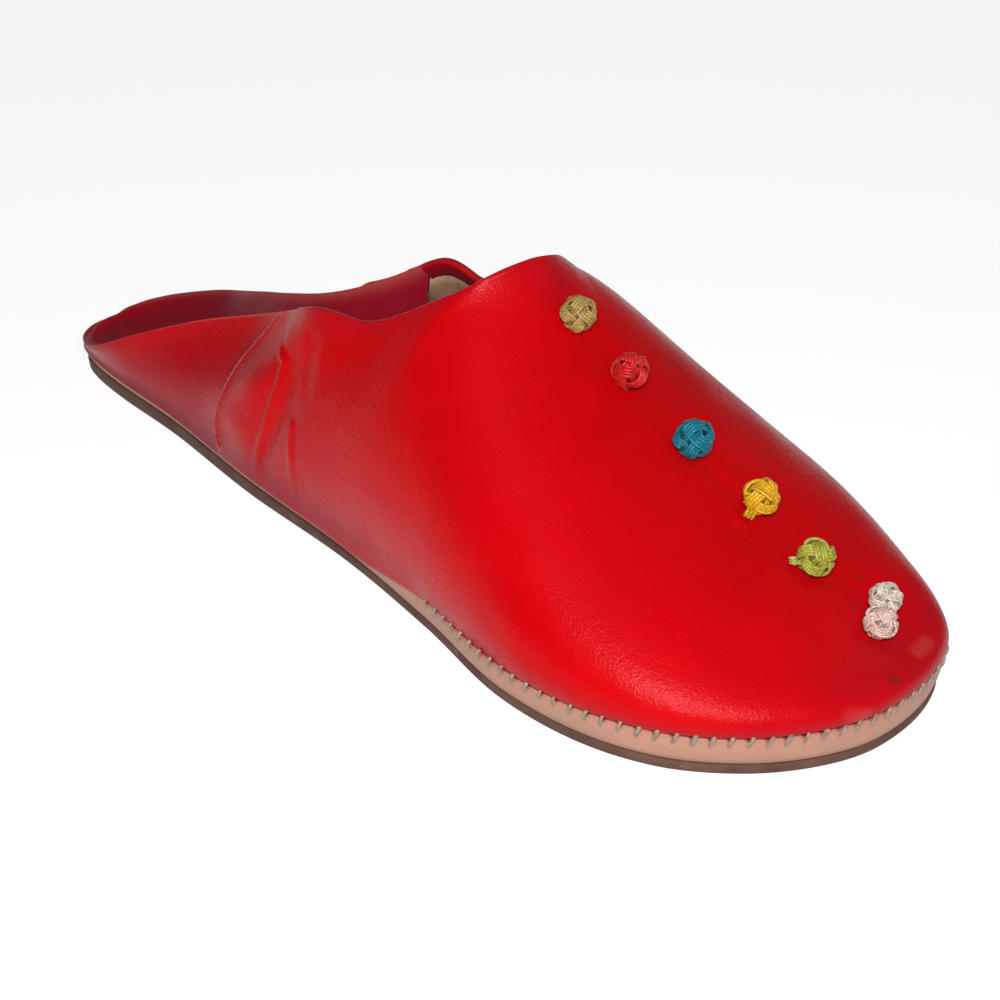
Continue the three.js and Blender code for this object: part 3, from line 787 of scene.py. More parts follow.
# The lap's edge swings back towards the heel as it goes up: turns at heights of the wall
LAP_EDGE = {"up": [0, 0.13, 0.28, 0.36, 0.43, 0.53, 0.64, 0.77, 0.92, 1.0],
            "turn": [0.3684, 0.3670, 0.3640, 0.3598, 0.3545, 0.3475, 0.3415, 0.3390, 0.3412, 0.3480]}


def seam_turn(u):
    return np.interp(u, LAP_EDGE["up"], LAP_EDGE["turn"])


def wall_turns():
    base = np.linspace(0, 1, BASE_COLUMNS)
    seam = SEAM_TURN + np.linspace(*SEAM_BAND, SEAM_COLUMNS)
    return np.unique(np.concatenate([base, seam, [SEAM_TURN, CROWN_TURN]]).round(6))


# How far the wall's top edge stands above the even line of its sections, and how far the
# heel's end of it is drawn forward, in millimetres
NEAR_RISE = {"at": [0, 0.10, 0.13, 0.15, 0.17, 0.19, 0.21, 0.23, 0.25, 0.27, 0.29, 0.31, 0.33, 0.35,
                    0.362, 0.370, 0.376, 0.39, 0.43, 0.45, 0.477, 0.494, 0.512, 0.53, 0.565, 0.583,
                    0.60, 0.63, 0.665, 1],
             "rise": [0, -0.2, -0.6, -1.0, -1.2, -1.4, -1.2, -0.86, -0.6, -0.25, 0.3, 0.55, 0.6, 0.8,
                      1.6, 2.1, 1.6, 0.1, 0.4, 0.3, 0.3, 0.7, 0.9, 0.95, 1.55, 1.95,
                      1.75, 0.8, 0, 0]}
FAR_RISE = {"at": [0, 0.05, 0.07, 0.09, 0.11, 0.13, 0.15, 0.17, 0.19, 0.21, 0.23, 0.25, 0.27, 0.29,
                   0.31, 0.323, 0.333, 0.35, 0.362, 0.372, 0.382, 0.388, 0.394, 0.402, 0.409, 0.417,
                   0.424, 0.441, 0.459, 0.477, 0.53, 0.565, 0.583, 0.60, 0.63, 0.665, 1],
            "rise": [0, 0.4, 1.75, 2.2, 2.5, 2.2, 1.85, 1.2, 0.3, -0.55, -1.2, -1.3, -1.3, -1.15,
                     -1.0, -1.05, -1.3, -2.0, -2.8, -2.7, -2.5, -0.4, -0.1, -0.7, -1.5, -2.5,
                     -3.1, -4.95, -4.2, -3.4, -2.6, -1.9, 0, 1.75, 0.8, 0, 0]}
SHIFT_START = 0.3
NEAR_PULL = {"at": [0, 0.13, 0.17, 0.19, 0.23, 1], "pull": [2.4, 2.4, 1.5, 1.0, 0, 0]}
FAR_PULL = {"at": [0, 0.03, 0.06, 0.08, 1], "pull": [2.4, 1.6, 0.3, 0, 0]}


def top_shift(s):
    """The wall's top edge moves by this much, forward and up."""
    turns = np.linspace(0, 1, 401)
    t = np.abs(s)
    shift = np.zeros(s.shape + (3,))
    tables = ((0, "pull", NEAR_PULL, FAR_PULL), (2, "rise", NEAR_RISE, FAR_RISE))
    for axis, name, near, far in tables:
        amounts = []
        for table in (near, far):
            amount = np.interp(turns, table["at"], table[name])
            for _ in range(3):
                around = [amount[k:len(amount) - 4 + k] for k in range(5)]
                amount[2:-2] = sum(around) / 5
            amounts.append(amount)
        middle = turns >= CROWN_TURN
        amounts[1][middle] = amounts[0][middle]
        near_shift, far_shift = [np.interp(t, turns, amount) for amount in amounts]
        shift[..., axis] = np.where(s < 0, near_shift, far_shift)
    return shift


def wall_surface(s, u):
    reach = smooth_step((u - SHIFT_START) / (1 - SHIFT_START))
    return surface(wall_curve, s, u) + top_shift(s) * reach[..., None]


SEAM_EASE = 0.045
SEAM_EASE_STEP = 0.003
SEAM_EASE_PASSES = 70


def eased_seam(s, u):
    """The wall without the kink of its sections at the side seam, for columns s and heights u."""
    places = wall_surface(s[:, None] + 0 * u, u[None] + 0 * s[:, None])
    reach = int(round(2 * SEAM_EASE / SEAM_EASE_STEP))
    nodes = SEAM_TURN + SEAM_EASE_STEP * np.arange(-reach, reach + 1)
    weight = np.clip(2 - 2 * np.abs(nodes - SEAM_TURN) / SEAM_EASE / 1.4, 0, 1)[1:-1, None, None]
    for side, chosen in ((-1, s < 0), (1, s > 0)):
        even = wall_surface(side * nodes[:, None] + 0 * u, u[None] + 0 * nodes[:, None])
        start = even.copy()
        change = ease(even, weight, SEAM_EASE_PASSES) - start
        turns = np.abs(s[chosen])
        for row in range(len(u)):
            for axis in range(3):
                places[chosen, row, axis] += np.interp(turns, nodes, change[:, row, axis])
    return places


def even_normals(normals, s):
    """Outward directions beside the crown, where the sections run along the collar's edge."""
    t = np.abs(s)
    for side in (s < 0, s > 0):
        last_even = np.flatnonzero(side & (t < CROWN_EVEN))[np.argmax(t[side & (t < CROWN_EVEN)])]
        crown = np.flatnonzero(side)[np.argmin(np.abs(t[side] - CROWN_TURN))]
        for column in np.flatnonzero(side & (t >= CROWN_EVEN) & (t < CROWN_TURN)):
            part = (t[column] - t[last_even]) / (t[crown] - t[last_even])
            normals[column] = unit(lerp(normals[last_even], normals[crown], part))
    return normals


def lap_rise(t, u):
    place = (t - seam_turn(u)) / LAP_WIDTH
    step = smooth_step(place)
    bead = 0.35 * np.exp(-((place - 0.9) / 0.8) ** 2)
    fade = np.clip(1 - (place * LAP_WIDTH) / LAP_FADE, 0, 1)
    return LAP_HEIGHT * step * (0.25 + 0.75 * fade * fade) + bead


def overhang(s):
    """How far the leather hangs down over the sole's edge: all along the waist and heel."""
    return 1 - smooth_step((share(np.abs(s)) - 0.50) / 0.13)


def outside(s):
    """Where the leather passes outside the sole's edge."""
    return 1 - smooth_step((share(np.abs(s)) - 0.60) / 0.07)


def tuck_rows(s):
    """Rows below the wall. The leather goes down behind the sole's edge, or hangs over it."""
    x = edge_point(s)[..., 0]
    over, out = overhang(s), outside(s)
    rim = rim_height(s)
    hem = lerp(rim - 0.4, sole_bottom(x) + 1.9, over)
    inner, outer = rim_out(s) - RIM_EDGE, rim_out(s) + 0.35
    low = at_edge(s, lerp(inner - 0.5, outer - 1.3, out), lerp(rim - 1.8, hem - 0.2, out))
    middle = at_edge(s, lerp(inner + 0.2, outer - 0.1, out), lerp(rim - 0.8, hem, out))
    high = at_edge(s, lerp(inner + 0.45, outer + 0.15, out), lerp(rim - 0.05, hem + 0.5, out))
    return np.stack([low, middle, high], axis=1)


# How far a knot presses into the leather, and how widely
KNOT_DENT = 0.5
KNOT_REACH = 4.6


def near_knots(points):
    """How close a point of the vamp is to a knot, from 0 to 1."""
    close = np.zeros(points.shape[:-1])
    for spot in KNOT_SPOTS:
        gap = np.linalg.norm(points - spot, axis=-1)
        close = np.maximum(close, np.exp(-(gap / KNOT_REACH) ** 4))
    return close


CROWN_EASE = 0.07
CROWN_PASSES = 90
CROWN_EVEN = 0.568


def ease_crown(grid, t, rows):
    """Evens the wall out beside the collar's crown, where throat and vamp sections meet."""
    near = np.clip(1 - np.abs(t - CROWN_TURN) / CROWN_EASE, 0, 1)
    weight = (np.minimum(1, near * 2) * np.clip((1 - rows) / 0.15, 0, 1))[1:-1, :, None]
    return ease(grid, weight, CROWN_PASSES)


class Wall:
    """Both faces of the upper's wall, with its relief, as grids of points."""

    def __init__(self):
        turns = wall_turns()
        self.s = np.concatenate([-turns[::-1], turns[1:]])
        u = 1 - (1 - np.linspace(0, 1, WALL_ROWS) ** 1.1) ** 1.15
        self.t = np.abs(self.s)[:, None] + 0 * u
        self.rows = u[None] + 0 * self.t
        sections = self.s[:, None] + 0 * u
        self.places = eased_seam(self.s, u)
        self.normals = surface_normal(wall_curve, sections, self.rows)
        self.crest = self.t[:, -1] >= CROWN_TURN
        self.behind = self.t[:, -1] <= SEAM_TURN
        mirrored = self.normals[::-1][self.crest, -1]
        self.normals[self.crest, -1] = unit(self.normals[self.crest, -1] + mirrored)
        self.normals = even_normals(self.normals, self.s)
        form = relief(self.places)
        lift = lap_rise(self.t, self.rows) + form * np.clip(self.rows * 6, 0, 1)
        lift = lift - KNOT_DENT * near_knots(self.places)
        lift = lift * np.clip(0.35 + self.rows * 12, 0, 1)
        lift[self.behind, -1] = RIDGE_LIFT
        self.outer = self.eased(lift)
        drop = np.linalg.norm(self.places - self.places[:, -1:], axis=-1)
        deep = smooth_step((drop - COLLAR_BAND - 0.5) / 3)
        depth = lerp(LINING_TOP, UPPER_WALL, deep)
        self.inner = self.eased(lerp(form[:, -1:], np.minimum(form, 0), deep) - depth)

    def eased(self, lift):
        grid = ease_crown(self.places + self.normals * lift[..., None], self.t, self.rows)
        mirrored = grid[::-1][self.crest, -1]
        grid[self.crest, -1] = (grid[self.crest, -1] + mirrored) / 2
        return grid


    def outer_at(self, s, u):
        """Places on the outer face at turns s and heights u."""
        across = np.interp(s, self.s, np.arange(len(self.s)))
        up = np.interp(u, self.rows[0], np.arange(WALL_ROWS))
        column = np.minimum(np.floor(across).astype(int), len(self.s) - 2)
        row = np.minimum(np.floor(up).astype(int), WALL_ROWS - 2)
        aside, above = (across - column)[:, None], (up - row)[:, None]
        low = lerp(self.outer[column, row], self.outer[column + 1, row], aside)
        high = lerp(self.outer[column, row + 1], self.outer[column + 1, row + 1], aside)
        return lerp(low, high, above)


HEM_ROWS = 6
HEM_PASSES = 60


def hem_to_wall(s, outer):
    """The tucked or hanging rows, then rows up to the wall's foot, rounded where the wall begins."""
    low = tuck_rows(s)
    steps = np.linspace(0, 1, HEM_ROWS + 1)[1:-1]
    between = low[:, -1:] + (outer[:, :1] - low[:, -1:]) * steps[None, :, None]
    skirt = np.concatenate([low, between], axis=1)
    start = skirt.shape[1]
    grid = np.concatenate([skirt, outer], axis=1)
    weight = np.zeros(grid.shape[1])
    weight[3:start + 12] = 1
    weight[start + 12:start + 20] = np.linspace(1, 0, 9)[1:]
    weight = (weight[1:-1] * outside(s)[:, None])[..., None]
    ease(grid.swapaxes(0, 1), weight.swapaxes(0, 1), HEM_PASSES)
    return grid[:, :start + 1], grid[:, start:]


def build_wall(shape, red, lining):
    s, t, rows, inner = shape.s, shape.t, shape.rows, shape.inner
    dull, worn, dirt = wall_marks(shape.places, shape.normals, t, rows)
    sheets = Sheets()
    skirt, outer = hem_to_wall(s, shape.outer)
    # The skirt keeps the painted shade of the wall's foot
    skirt_shade = np.repeat(dull[:, :1], skirt.shape[1], axis=1)
    sheets.add(skirt, 0, dull=skirt_shade, worn=0.0, dirt=0.0)
    sheets.add(outer, 0, dull=dull, worn=worn, dirt=dirt)
    low_rows = np.arange(0, WALL_ROWS * 2 // 3, 2)
    high_rows = np.append(np.arange(low_rows[-1], WALL_ROWS - 1, 2), WALL_ROWS - 1)
    behind_seam = shape.behind & (t[:, -1] > SEAM_TURN - 0.05)
    ahead = ~shape.behind
    for side in (s < 0, s > 0):
        sheets.add(inner[(behind_seam | ahead) & side][:, low_rows], 1, flip=True)
        sheets.add(inner[ahead & side & ((s < 0) | (s > FAR_LAP))][:, high_rows], 1, flip=True)
    return sheets.build("upper_wall", [red, lining])


def wall_marks(places, normals, t, rows):
    x, z = places[..., 0], places[..., 2]
    upward = np.clip(normals[..., 2], 0, 1)
    # Painted shade: darker along the throat's top edge, on faces turned up, at the toe's tip, at the
    # wall's foot, towards the heel and low at the back
    dull = 0.22 * np.exp(-((rows - 1) / 0.08) ** 2) * (t > SEAM_TURN) * (t < CROWN_TURN + 0.02)
    dull = dull + 0.10 * np.clip(upward - 0.75, 0, 1)
    toe = np.exp(-np.clip((LENGTH / 2 - 1 - x) / 14, 0, 9) ** 2)
    dull = dull + 0.20 * toe
    dull = dull + 0.25 * np.exp(-(rows / 0.07) ** 2)
    dull = dull + 0.25 * smooth_step((-15 - x) / 60) * (1 - 0.6 * smooth_step((z - 15) / 15))
    dull = dull + 0.22 * smooth_step((30 - x) / 40) * smooth_step((24 - z) / 16)
    # Painted highlight: a pale line along the folded quarter's ridge. A fainter pale line runs along the
    # lap's raised edge at the side seams.
    worn = 0.55 * np.exp(-((rows - 1) / 0.012) ** 2) * (t <= SEAM_TURN)
    worn = worn + 0.22 * np.exp(-((t - seam_turn(rows) - LAP_WIDTH) / 0.003) ** 2)
    # Painted shade: a dark line at the foot of the lap's edge, where it steps up from the wall
    dirt = 0.45 * np.exp(-((t - seam_turn(rows)) / 0.0022) ** 2)
    for stain in STAINS:
        gap = near_stroke(places, stain["path"]) / stain["width"]
        amount = stain["strength"] * np.exp(-gap ** 4)
        if stain["kind"] == "worn":
            worn = worn + amount
        else:
            dirt = dirt + amount
    return np.clip(dull, 0, 0.8), np.clip(worn, 0, 0.9), np.clip(dirt, 0, 0.9)


STAINS = [
    {"path": [(128.9, -3.5, 16), (128.7, 0.5, 16)], "width": 1.7, "strength": 0.22, "kind": "worn"},
    {"path": [(129, -24, 12.5), (126, -27, 13)], "width": 1.5, "strength": 0.25, "kind": "worn"},
    {"path": [(128.9, -14.9, 15.6), (129.9, -14.0, 15.5)], "width": 1.0, "strength": 0.5,
     "kind": "dirt"},
    {"path": [(92.8, -13.3, 28.9), (93.4, -13.0, 28.6)], "width": 0.6, "strength": 0.35, "kind": "dirt"},
    {"path": [(109.6, 5.3, 21.4), (110.4, 5.7, 21.1)], "width": 0.6, "strength": 0.45, "kind": "dirt"},
    {"path": [(51.8, 17.6, 49.3), (53.4, 17.6, 48.2), (55.2, 18.3, 46.8)], "width": 0.5,
     "strength": 0.55, "kind": "dirt"},
]


# The turned-over edge of the collar
COLLAR_COLUMNS = 240
COLLAR_PASSES = 40
COLLAR_RADIUS = 0.98
COLLAR_LIP = 0.8
DIRECTION_ROW = -6
ROLL_ROWS = 9
BAND_ROWS = 6


def collar_path(shape):
    """The collar's edge from the near seam over the crown to the far seam, with its directions."""
    throat_part = (shape.t[:, -1] >= SEAM_TURN) & (shape.t[:, -1] <= CROWN_TURN)
    near = np.flatnonzero(throat_part & (shape.s < 0))[::-1]
    far = np.flatnonzero(throat_part & (shape.s >= FAR_LAP - 0.004))[::-1]
    order = np.concatenate([near, far[1:]])
    path = shape.outer[order, -1]
    up = np.gradient(shape.outer, axis=1)
    lower = unit(np.cross(up, np.gradient(shape.outer, axis=0)))[order, DIRECTION_ROW]
    length = distances(path)
    steps = np.linspace(0, length[-1], COLLAR_COLUMNS)
    top, normals = between(steps, length, path), between(steps, length, lower)
    for _ in range(COLLAR_PASSES):
        normals[1:-1] = unit(normals[:-2] + 2 * normals[1:-1] + normals[2:])
        top[1:-1] = (top[:-2] + 6 * top[1:-1] + top[2:]) / 8
    along = unit(np.gradient(top, axis=0))
    outward = unit(np.cross(normals, along))
    return top, unit(np.cross(along, outward)), outward


def build_collar(shape, red):
    top, normals, outward = collar_path(shape)
    centre = top - normals * (COLLAR_RADIUS - 0.04) - outward * 0.4
    angles = np.linspace(-0.5, np.pi, ROLL_ROWS)[None, :, None]
    ring = np.cos(angles) * normals[:, None] + np.sin(angles) * outward[:, None]
    roll = centre[:, None] + COLLAR_RADIUS * ring
    depth = np.linspace(0, COLLAR_BAND, BAND_ROWS + 1)[1:]
    band = roll[:, -1:] - outward[:, None] * depth[None, :, None]
    edge = band[:, -1:] + normals[:, None] * COLLAR_LIP
    grid = np.concatenate([roll, band, edge], axis=1)
    count = grid.shape[1]
    # A faint pale line along the crest of the rolled edge, in the wear and highlight mark
    worn = np.zeros(count)
    worn[3:7] = 0.08
    # Painted shade: the rolled edge a little darker, the band turned in under it much darker
    dull = np.full(count, 0.2)
    dull[ROLL_ROWS:] = 0.6
    sheets = Sheets()
    sheets.add(grid, 0, dull=dull[None], worn=worn[None])
    return sheets.build("upper_collar_edge", [red])


# The folded half of the heel quarter
FLAP_ROWS = 40
FLAP_THICKNESS = 1.2
# Share of the wall's height that the quarter falls by, where it runs on past the far seam
FLAP_FALL = 0.6


def flap_relief(points, v):
    x = points[..., 0]
    ripple = 0.35 * np.sin(x / 9 + 0.5) * np.sin(v * 3.1) + 0.15 * np.sin(x / 3.7 + v * 4)
    return ripple * np.clip(v * 5, 0, 1) * np.clip((1 - v) * 5, 0, 1)


def build_flap(shape, red, lining):
    chosen = np.flatnonzero(shape.behind)
    s = shape.s[chosen]
    v = np.linspace(0, 1, FLAP_ROWS) ** 1.2
    columns_s, rows = s[:, None] + 0 * v, v[None] + 0 * s[:, None]
    places = surface(flap_curve, columns_s, rows)
    normals = surface_normal(flap_curve, columns_s, np.clip(rows, 0.02, 0.98))
    mirrored = normals[::-1]
    normals[:, -1] = unit(normals[:, -1] + mirrored[:, -1])
    lift = flap_relief(places, rows)
    top = places + normals * lift[..., None]
    ridge_shift = shape.places[chosen, -1] - surface(quarter_curve, s, np.ones_like(s))
    top[:, 0] = shape.outer[chosen, -1]
    under = places - normals * (FLAP_THICKNESS * np.clip(rows * 9, 0.3, 1))[..., None]
    settle = ridge_shift[:, None] * ((1 - rows) ** 2)[..., None]
    top[:, 1:] += settle[:, 1:]
    under += settle
    near_ridge = np.exp(-(rows / 0.045) ** 2)
    # Painted highlight: a pale line along the fold at the ridge
    worn = 0.55 * near_ridge
    tip = np.exp(-((places[..., 0] + LENGTH / 2) / 16) ** 2)
    # Painted shade: the folded quarter inside the shoe is darkened, most across its middle, less at the
    # heel's tip
    dull = 0.55 + 0.25 * np.sin(rows * np.pi) - 0.2 * tip
    beyond = np.flatnonzero((shape.s > 0) & ~shape.behind & (shape.t[:, -1] <= FAR_LAP))
    level = np.round((WALL_ROWS - 1) * (1 - FLAP_FALL * v)).astype(int)
    run_on = shape.places[beyond][:, level] - shape.places[chosen[-1]][level]
    top = np.concatenate([top, top[-1:] + run_on])
    top[-len(beyond):, 0] = shape.outer[beyond, -1]
    under = np.concatenate([under, under[-1:] + run_on])
    dull, worn = [np.concatenate([mark, mark[-1:] + 0 * run_on[..., 0]]) for mark in (dull, worn)]
    sheets = Sheets()
    sheets.add(top, 0, dull=np.clip(dull, 0, 0.8), worn=worn)
    sheets.add(under[:, 4:], 1, flip=True)
    for end in (0, -1):
        edge = np.stack([top[end, 5:], under[end, 5:]], axis=0)
        sheets.add(edge, 1, flip=end == -1)
    return sheets.build("upper_folded_quarter", [red, lining])


# Stitches of thin waxed thread along the side seams
SEAM_PITCH = 1.7
SEAM_INSET = 0.007
SEAM_STITCH = {"along": [0, 0.15, 0.5, 0.85, 1], "up": [-0.25, 0.05, 0.12, 0.05, -0.25]}
SEAM_STITCH_SHARE = 0.72
SEAM_THREAD_RADIUS = 0.27


def seam_stitches(shape, material):
    sheets = Sheets()
    for side in (-1, 1):
        u = np.linspace(0.02, 0.97, 400)
        s = side * (seam_turn(u) + SEAM_INSET)
        normals = surface_normal(wall_curve, s, u)
        path = shape.outer_at(s, u) + normals * 0.06
        length = distances(path)
        for start in np.arange(0.5, length[-1] - SEAM_PITCH, SEAM_PITCH):
            ends = start + np.array(SEAM_STITCH["along"]) * SEAM_PITCH * SEAM_STITCH_SHARE
            normal = between([start], length, normals)
            arch = normal * np.array(SEAM_STITCH["up"])[:, None]
            sheets.add(tube_grid(between(ends, length, path) + arch, SEAM_THREAD_RADIUS, 6))
    return sheets.build("seam_stitches", [material], weld=0)


# The sole's turned-up edge and the whip stitches over it
STITCH_PITCH = 3.7
NOTCH_DEPTH = 0.95
NOTCH_WIDTH = 0.15
NOTCH_FADE = 1.7
STITCH_REACH = 1.75
STITCH_RADIUS = 0.48
STITCH = {"lean": [-0.13, -0.10, -0.04, 0.02, 0.06, 0.09],
          "out": [-0.2, 0.3, 0.32, 0.25, 0.1, -0.6],
          "up": [0.95, 0.8, 0.15, -0.55, -1.15, -STITCH_REACH]}
SOLE_SAMPLES = 10
PLATE_COLUMNS = 120
# The sole's profile: places out from its edge, with heights over its underside or under its rim
SOLE_FOOT = [(-3.0, 0.0), (-0.5, 0.0), (-0.1, 0.12), (0.0, 0.3)]
SOLE_CLIMB = [0.2, 0.35, 0.5, 0.62, 0.74, 0.84, 0.93]
SOLE_RIM = [(-0.08, 0.2), (-0.35, 0.0), (-0.8, 0.0), (-RIM_EDGE, 0.35), (-RIM_EDGE - 0.5, 1.6)]


def rim_line():
    """Places round the sole's edge, evenly spaced along it, from toe round the heel to toe."""
    s = np.linspace(-1, 1, 6001)
    path = at_edge(s, rim_out(s), rim_height(s))
    length = distances(path)
    count = int(round(length[-1] / STITCH_PITCH))
    return s, length, count


def notch(phase):
    return np.exp(-((phase - 0.5) / NOTCH_WIDTH) ** 2)


def build_sole(material):
    s_line, length, count = rim_line()
    steps = np.arange(count * SOLE_SAMPLES) / (count * SOLE_SAMPLES)
    s = np.interp(steps * length[-1], length, s_line)
    phase = (steps * count) % 1
    pull = notch(phase)[:, None]
    x = edge_point(s)[:, 0]
    low = sole_bottom(x)
    high = rim_height(s)
    flare = rim_out(s)
    outs = [flare * 0 + out for out, rise in SOLE_FOOT]
    ups = [low + rise for out, rise in SOLE_FOOT]
    for climb in SOLE_CLIMB:
        belly = 0.25 * np.sin(climb * np.pi)
        outs.append(flare * climb + belly)
        ups.append(low + 0.3 + (high - 0.45 - low - 0.3) * climb)
    for out, down in SOLE_RIM:
        outs.append(flare + out)
        ups.append(high - down)
    outs.append(cup_inner(s, sole_floor(x)) - 0.3)
    ups.append(sole_floor(x))
    out = np.stack(outs, axis=1)
    up = np.stack(ups, axis=1)
    near_top = np.clip((up - high[:, None] + NOTCH_FADE) / NOTCH_FADE, 0, 1) ** 2
    up = up - NOTCH_DEPTH * pull * near_top
    out = out - 0.3 * pull * near_top + 0.12 * (1 - pull) * near_top
    grid = at_edge(s[:, None], out, up)
    # Painted shade: dark spots where the whip stitches go into the leather, standing for their holes
    stitch_hole_shade = np.exp(-((phase[:, None] - 0.58) / 0.08) ** 2)
    stitch_hole_shade = stitch_hole_shade * np.exp(-((high[:, None] - STITCH_REACH - up) / 0.35) ** 2)
    # Darker towards the edge's foot, next to the outsole
    low_darkening = np.exp(-((up - low[:, None]) / 0.5) ** 2) * 0.35
    # Painted shade: the sole's turned-up edge darker and redder towards its top, by the notches
    tint = np.clip(near_top * 0.5, 0, 1)
    sheets = Sheets()
    sheets.add(grid, 0, closed=True, dirt=np.clip(stitch_hole_shade * 0.9 + low_darkening, 0, 1), dull=tint)
    floor_turns = np.linspace(0, 1, PLATE_COLUMNS)
    for level, inset, flip in ((sole_floor, None, False), (sole_bottom, -2.9, True)):
        sides = []
        for side in (-1, 1):
            edge = side * floor_turns
            reach = cup_inner(edge, sole_floor(edge_point(edge)[:, 0])) if inset is None else inset
            points = at_edge(edge, reach + 0 * edge, 0)
            points[:, 2] = level(points[:, 0])
            sides.append(points)
        across = np.linspace(0, 1, 12)[None, :, None]
        sheets.add(sides[0][:, None] * (1 - across) + sides[1][:, None] * across, 0, flip=flip)
    return sheets.build("sole_stitched_edge", [material], weld=0)


def whip_stitches(material):
    s_line, length, count = rim_line()
    sheets = Sheets()
    rng = np.random.default_rng(7)
    for i in range(count):
        sway = rng.normal(0, 0.05, 3)
        if outside(np.interp((i + 0.5) * length[-1] / count, length, s_line)) > 0.6:
            continue
        place = (i + np.array(STITCH["lean"]) + 0.5 + sway[0]) * length[-1] / count
        s = np.interp(place, length, s_line)
        ups = rim_height(s) + np.array(STITCH["up"]) + sway[1]
        drape = at_edge(s, rim_out(s) + np.array(STITCH["out"]), ups)
        path = ease(between(np.linspace(0, 5, 13), np.arange(6), drape), 1)
        sheets.add(tube_grid(path, STITCH_RADIUS + 1.2 * sway[2], 7, 0.75))
    return sheets.build("whip_stitches", [material], weld=0)


OUTSOLE_FOOT = [(-4.0, 0.0), (-0.7, 0.0), (-0.3, 0.15), (-0.05, 0.5)]
OUTSOLE_SHOULDER = [(0.05, 0.9), (0.0, 0.35), (-0.25, 0.06), (-0.8, 0.0)]


def build_outsole(material):
    turns = np.linspace(-1, 1, 481)[:-1]
    x = edge_point(turns)[:, 0]
    low, high = outsole_bottom(x), outsole_top(x)
    wobble = 0.10 * np.sin(turns * 55) + 0.06 * np.sin(turns * 131 + 1)
    outs = [0 * x + out for out, rise in OUTSOLE_FOOT]
    ups = [low + rise for out, rise in OUTSOLE_FOOT]
    for out, down in OUTSOLE_SHOULDER:
        outs.append(wobble + out)
        ups.append(high - down)
    grid = at_edge(turns[:, None], np.stack(outs, axis=1), np.stack(ups, axis=1))
    sheets = Sheets()
    sheets.add(grid, 0, closed=True)
    for level, inset, flip in ((outsole_top, -0.8, False), (outsole_bottom, -3.9, True)):
        edge = np.linspace(0, 1, PLATE_COLUMNS)
        height = level(edge_point(edge)[:, 0])
        sides = [at_edge(side * edge, inset + 0 * edge, height) for side in (-1, 1)]
        across = np.linspace(0, 1, 10)[None, :, None]
        sheets.add(sides[0][:, None] * (1 - across) + sides[1][:, None] * across, 0, flip=flip)
    return sheets.build("outsole_worn", [material], weld=0)


# Silk button knots: one strand of parallel threads woven round a small core
BIGHTS = 4
LEADS = 3
STRAND_THREADS = 4
THREAD_PITCH = 0.72
THREAD_RADIUS = 0.4
WEAVE_RADIUS = 3.55
WEAVE_DEPTH = 0.62
WEAVE_SWING = math.radians(62)
KNOT_RISE = 3.5


def weave(thread_index, squash):
    theta = np.linspace(0, 2 * np.pi * LEADS, 270)
    phase = BIGHTS * theta / LEADS

    def at(theta, phase):
        latitude = WEAVE_SWING * np.sin(phase)
        radius = WEAVE_RADIUS + WEAVE_DEPTH * np.sin(2 * phase)
        flat = radius * np.cos(latitude)
        return vec(flat * np.cos(theta), flat * np.sin(theta), radius * np.sin(latitude))

    path = at(theta, phase)
    along = unit(at(theta + 0.01, phase + 0.01 * BIGHTS / LEADS) - path)
    outward = unit(path)
    across = unit(np.cross(along, outward))
    path = path + across * ((thread_index - (STRAND_THREADS - 1) / 2) * THREAD_PITCH)
    path[:, 2] *= squash
    return path


def turned(points, axis, spin, tilt):
    """Points about the knot's own axis, spun, tilted and stood on the leather's normal."""
    spin_cos, spin_sin, tilt_cos, tilt_sin = (f(angle) for angle in (spin, tilt)
                                              for f in (math.cos, math.sin))
    spin_matrix = np.array([[spin_cos, -spin_sin, 0], [spin_sin, spin_cos, 0], [0, 0, 1]])
    tilt_matrix = np.array([[1, 0, 0], [0, tilt_cos, -tilt_sin], [0, tilt_sin, tilt_cos]])
    side = unit(np.cross([0.0, 1.0, 0.0], axis))
    stand = np.stack([side, np.cross(axis, side), axis], axis=1)
    return points @ (stand @ spin_matrix @ tilt_matrix).T


def ball(radius, rows=16, columns_count=24):
    latitude = np.linspace(-np.pi / 2, np.pi / 2, rows)[None]
    longitude = np.linspace(0, 2 * np.pi, columns_count + 1)[:, None]
    flat, up = radius * np.cos(latitude), radius * np.sin(latitude)
    return vec(flat * np.cos(longitude), flat * np.sin(longitude), up)


def knot_ground(spot):
    """Place and outward direction of the leather at a share of the length and a height."""
    at, up = spot
    s = np.array([math.copysign(turn(abs(at)), at)])
    place = surface(wall_curve, s, np.array([up]))[0]
    normal = surface_normal(wall_curve, s, np.array([up]))[0]
    return place, normal


def build_knot(knot):
    strand = thread(knot["name"] + "_silk", knot["color"])
    # Painted shade: the core is a darkened copy of the silk's colour, for the shade between the woven
    # threads
    shaded_core = thread(knot["name"] + "_shaded_core", tuple(0.25 * level for level in knot["color"]))
    sheets = Sheets()
    materials = [strand, shaded_core]
    for lobe, spot in enumerate(knot["spots"]):
        place, normal = knot_ground(spot)
        centre = place + normal * KNOT_RISE
        size = knot["size"]
        slot = 0
        if lobe and "second" in knot:
            materials.append(thread(knot["name"] + "_silk_two", knot["second"]))
            slot = 2
        for index in range(STRAND_THREADS):
            path = turned(weave(index, 0.94), normal, knot["spin"] + lobe, knot["tilt"]) * size
            sheets.add(tube_grid(centre + path, THREAD_RADIUS * size, 6), slot)
        sheets.add(centre + turned(ball(WEAVE_RADIUS - 0.35), normal, 0, 0) * size, 1)
    if "tail" in knot:
        add_tail(sheets, knot)
    obj = sheets.build(knot["name"] + "_woven", materials, weld=0)
    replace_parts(obj, knot["name"])
    return obj


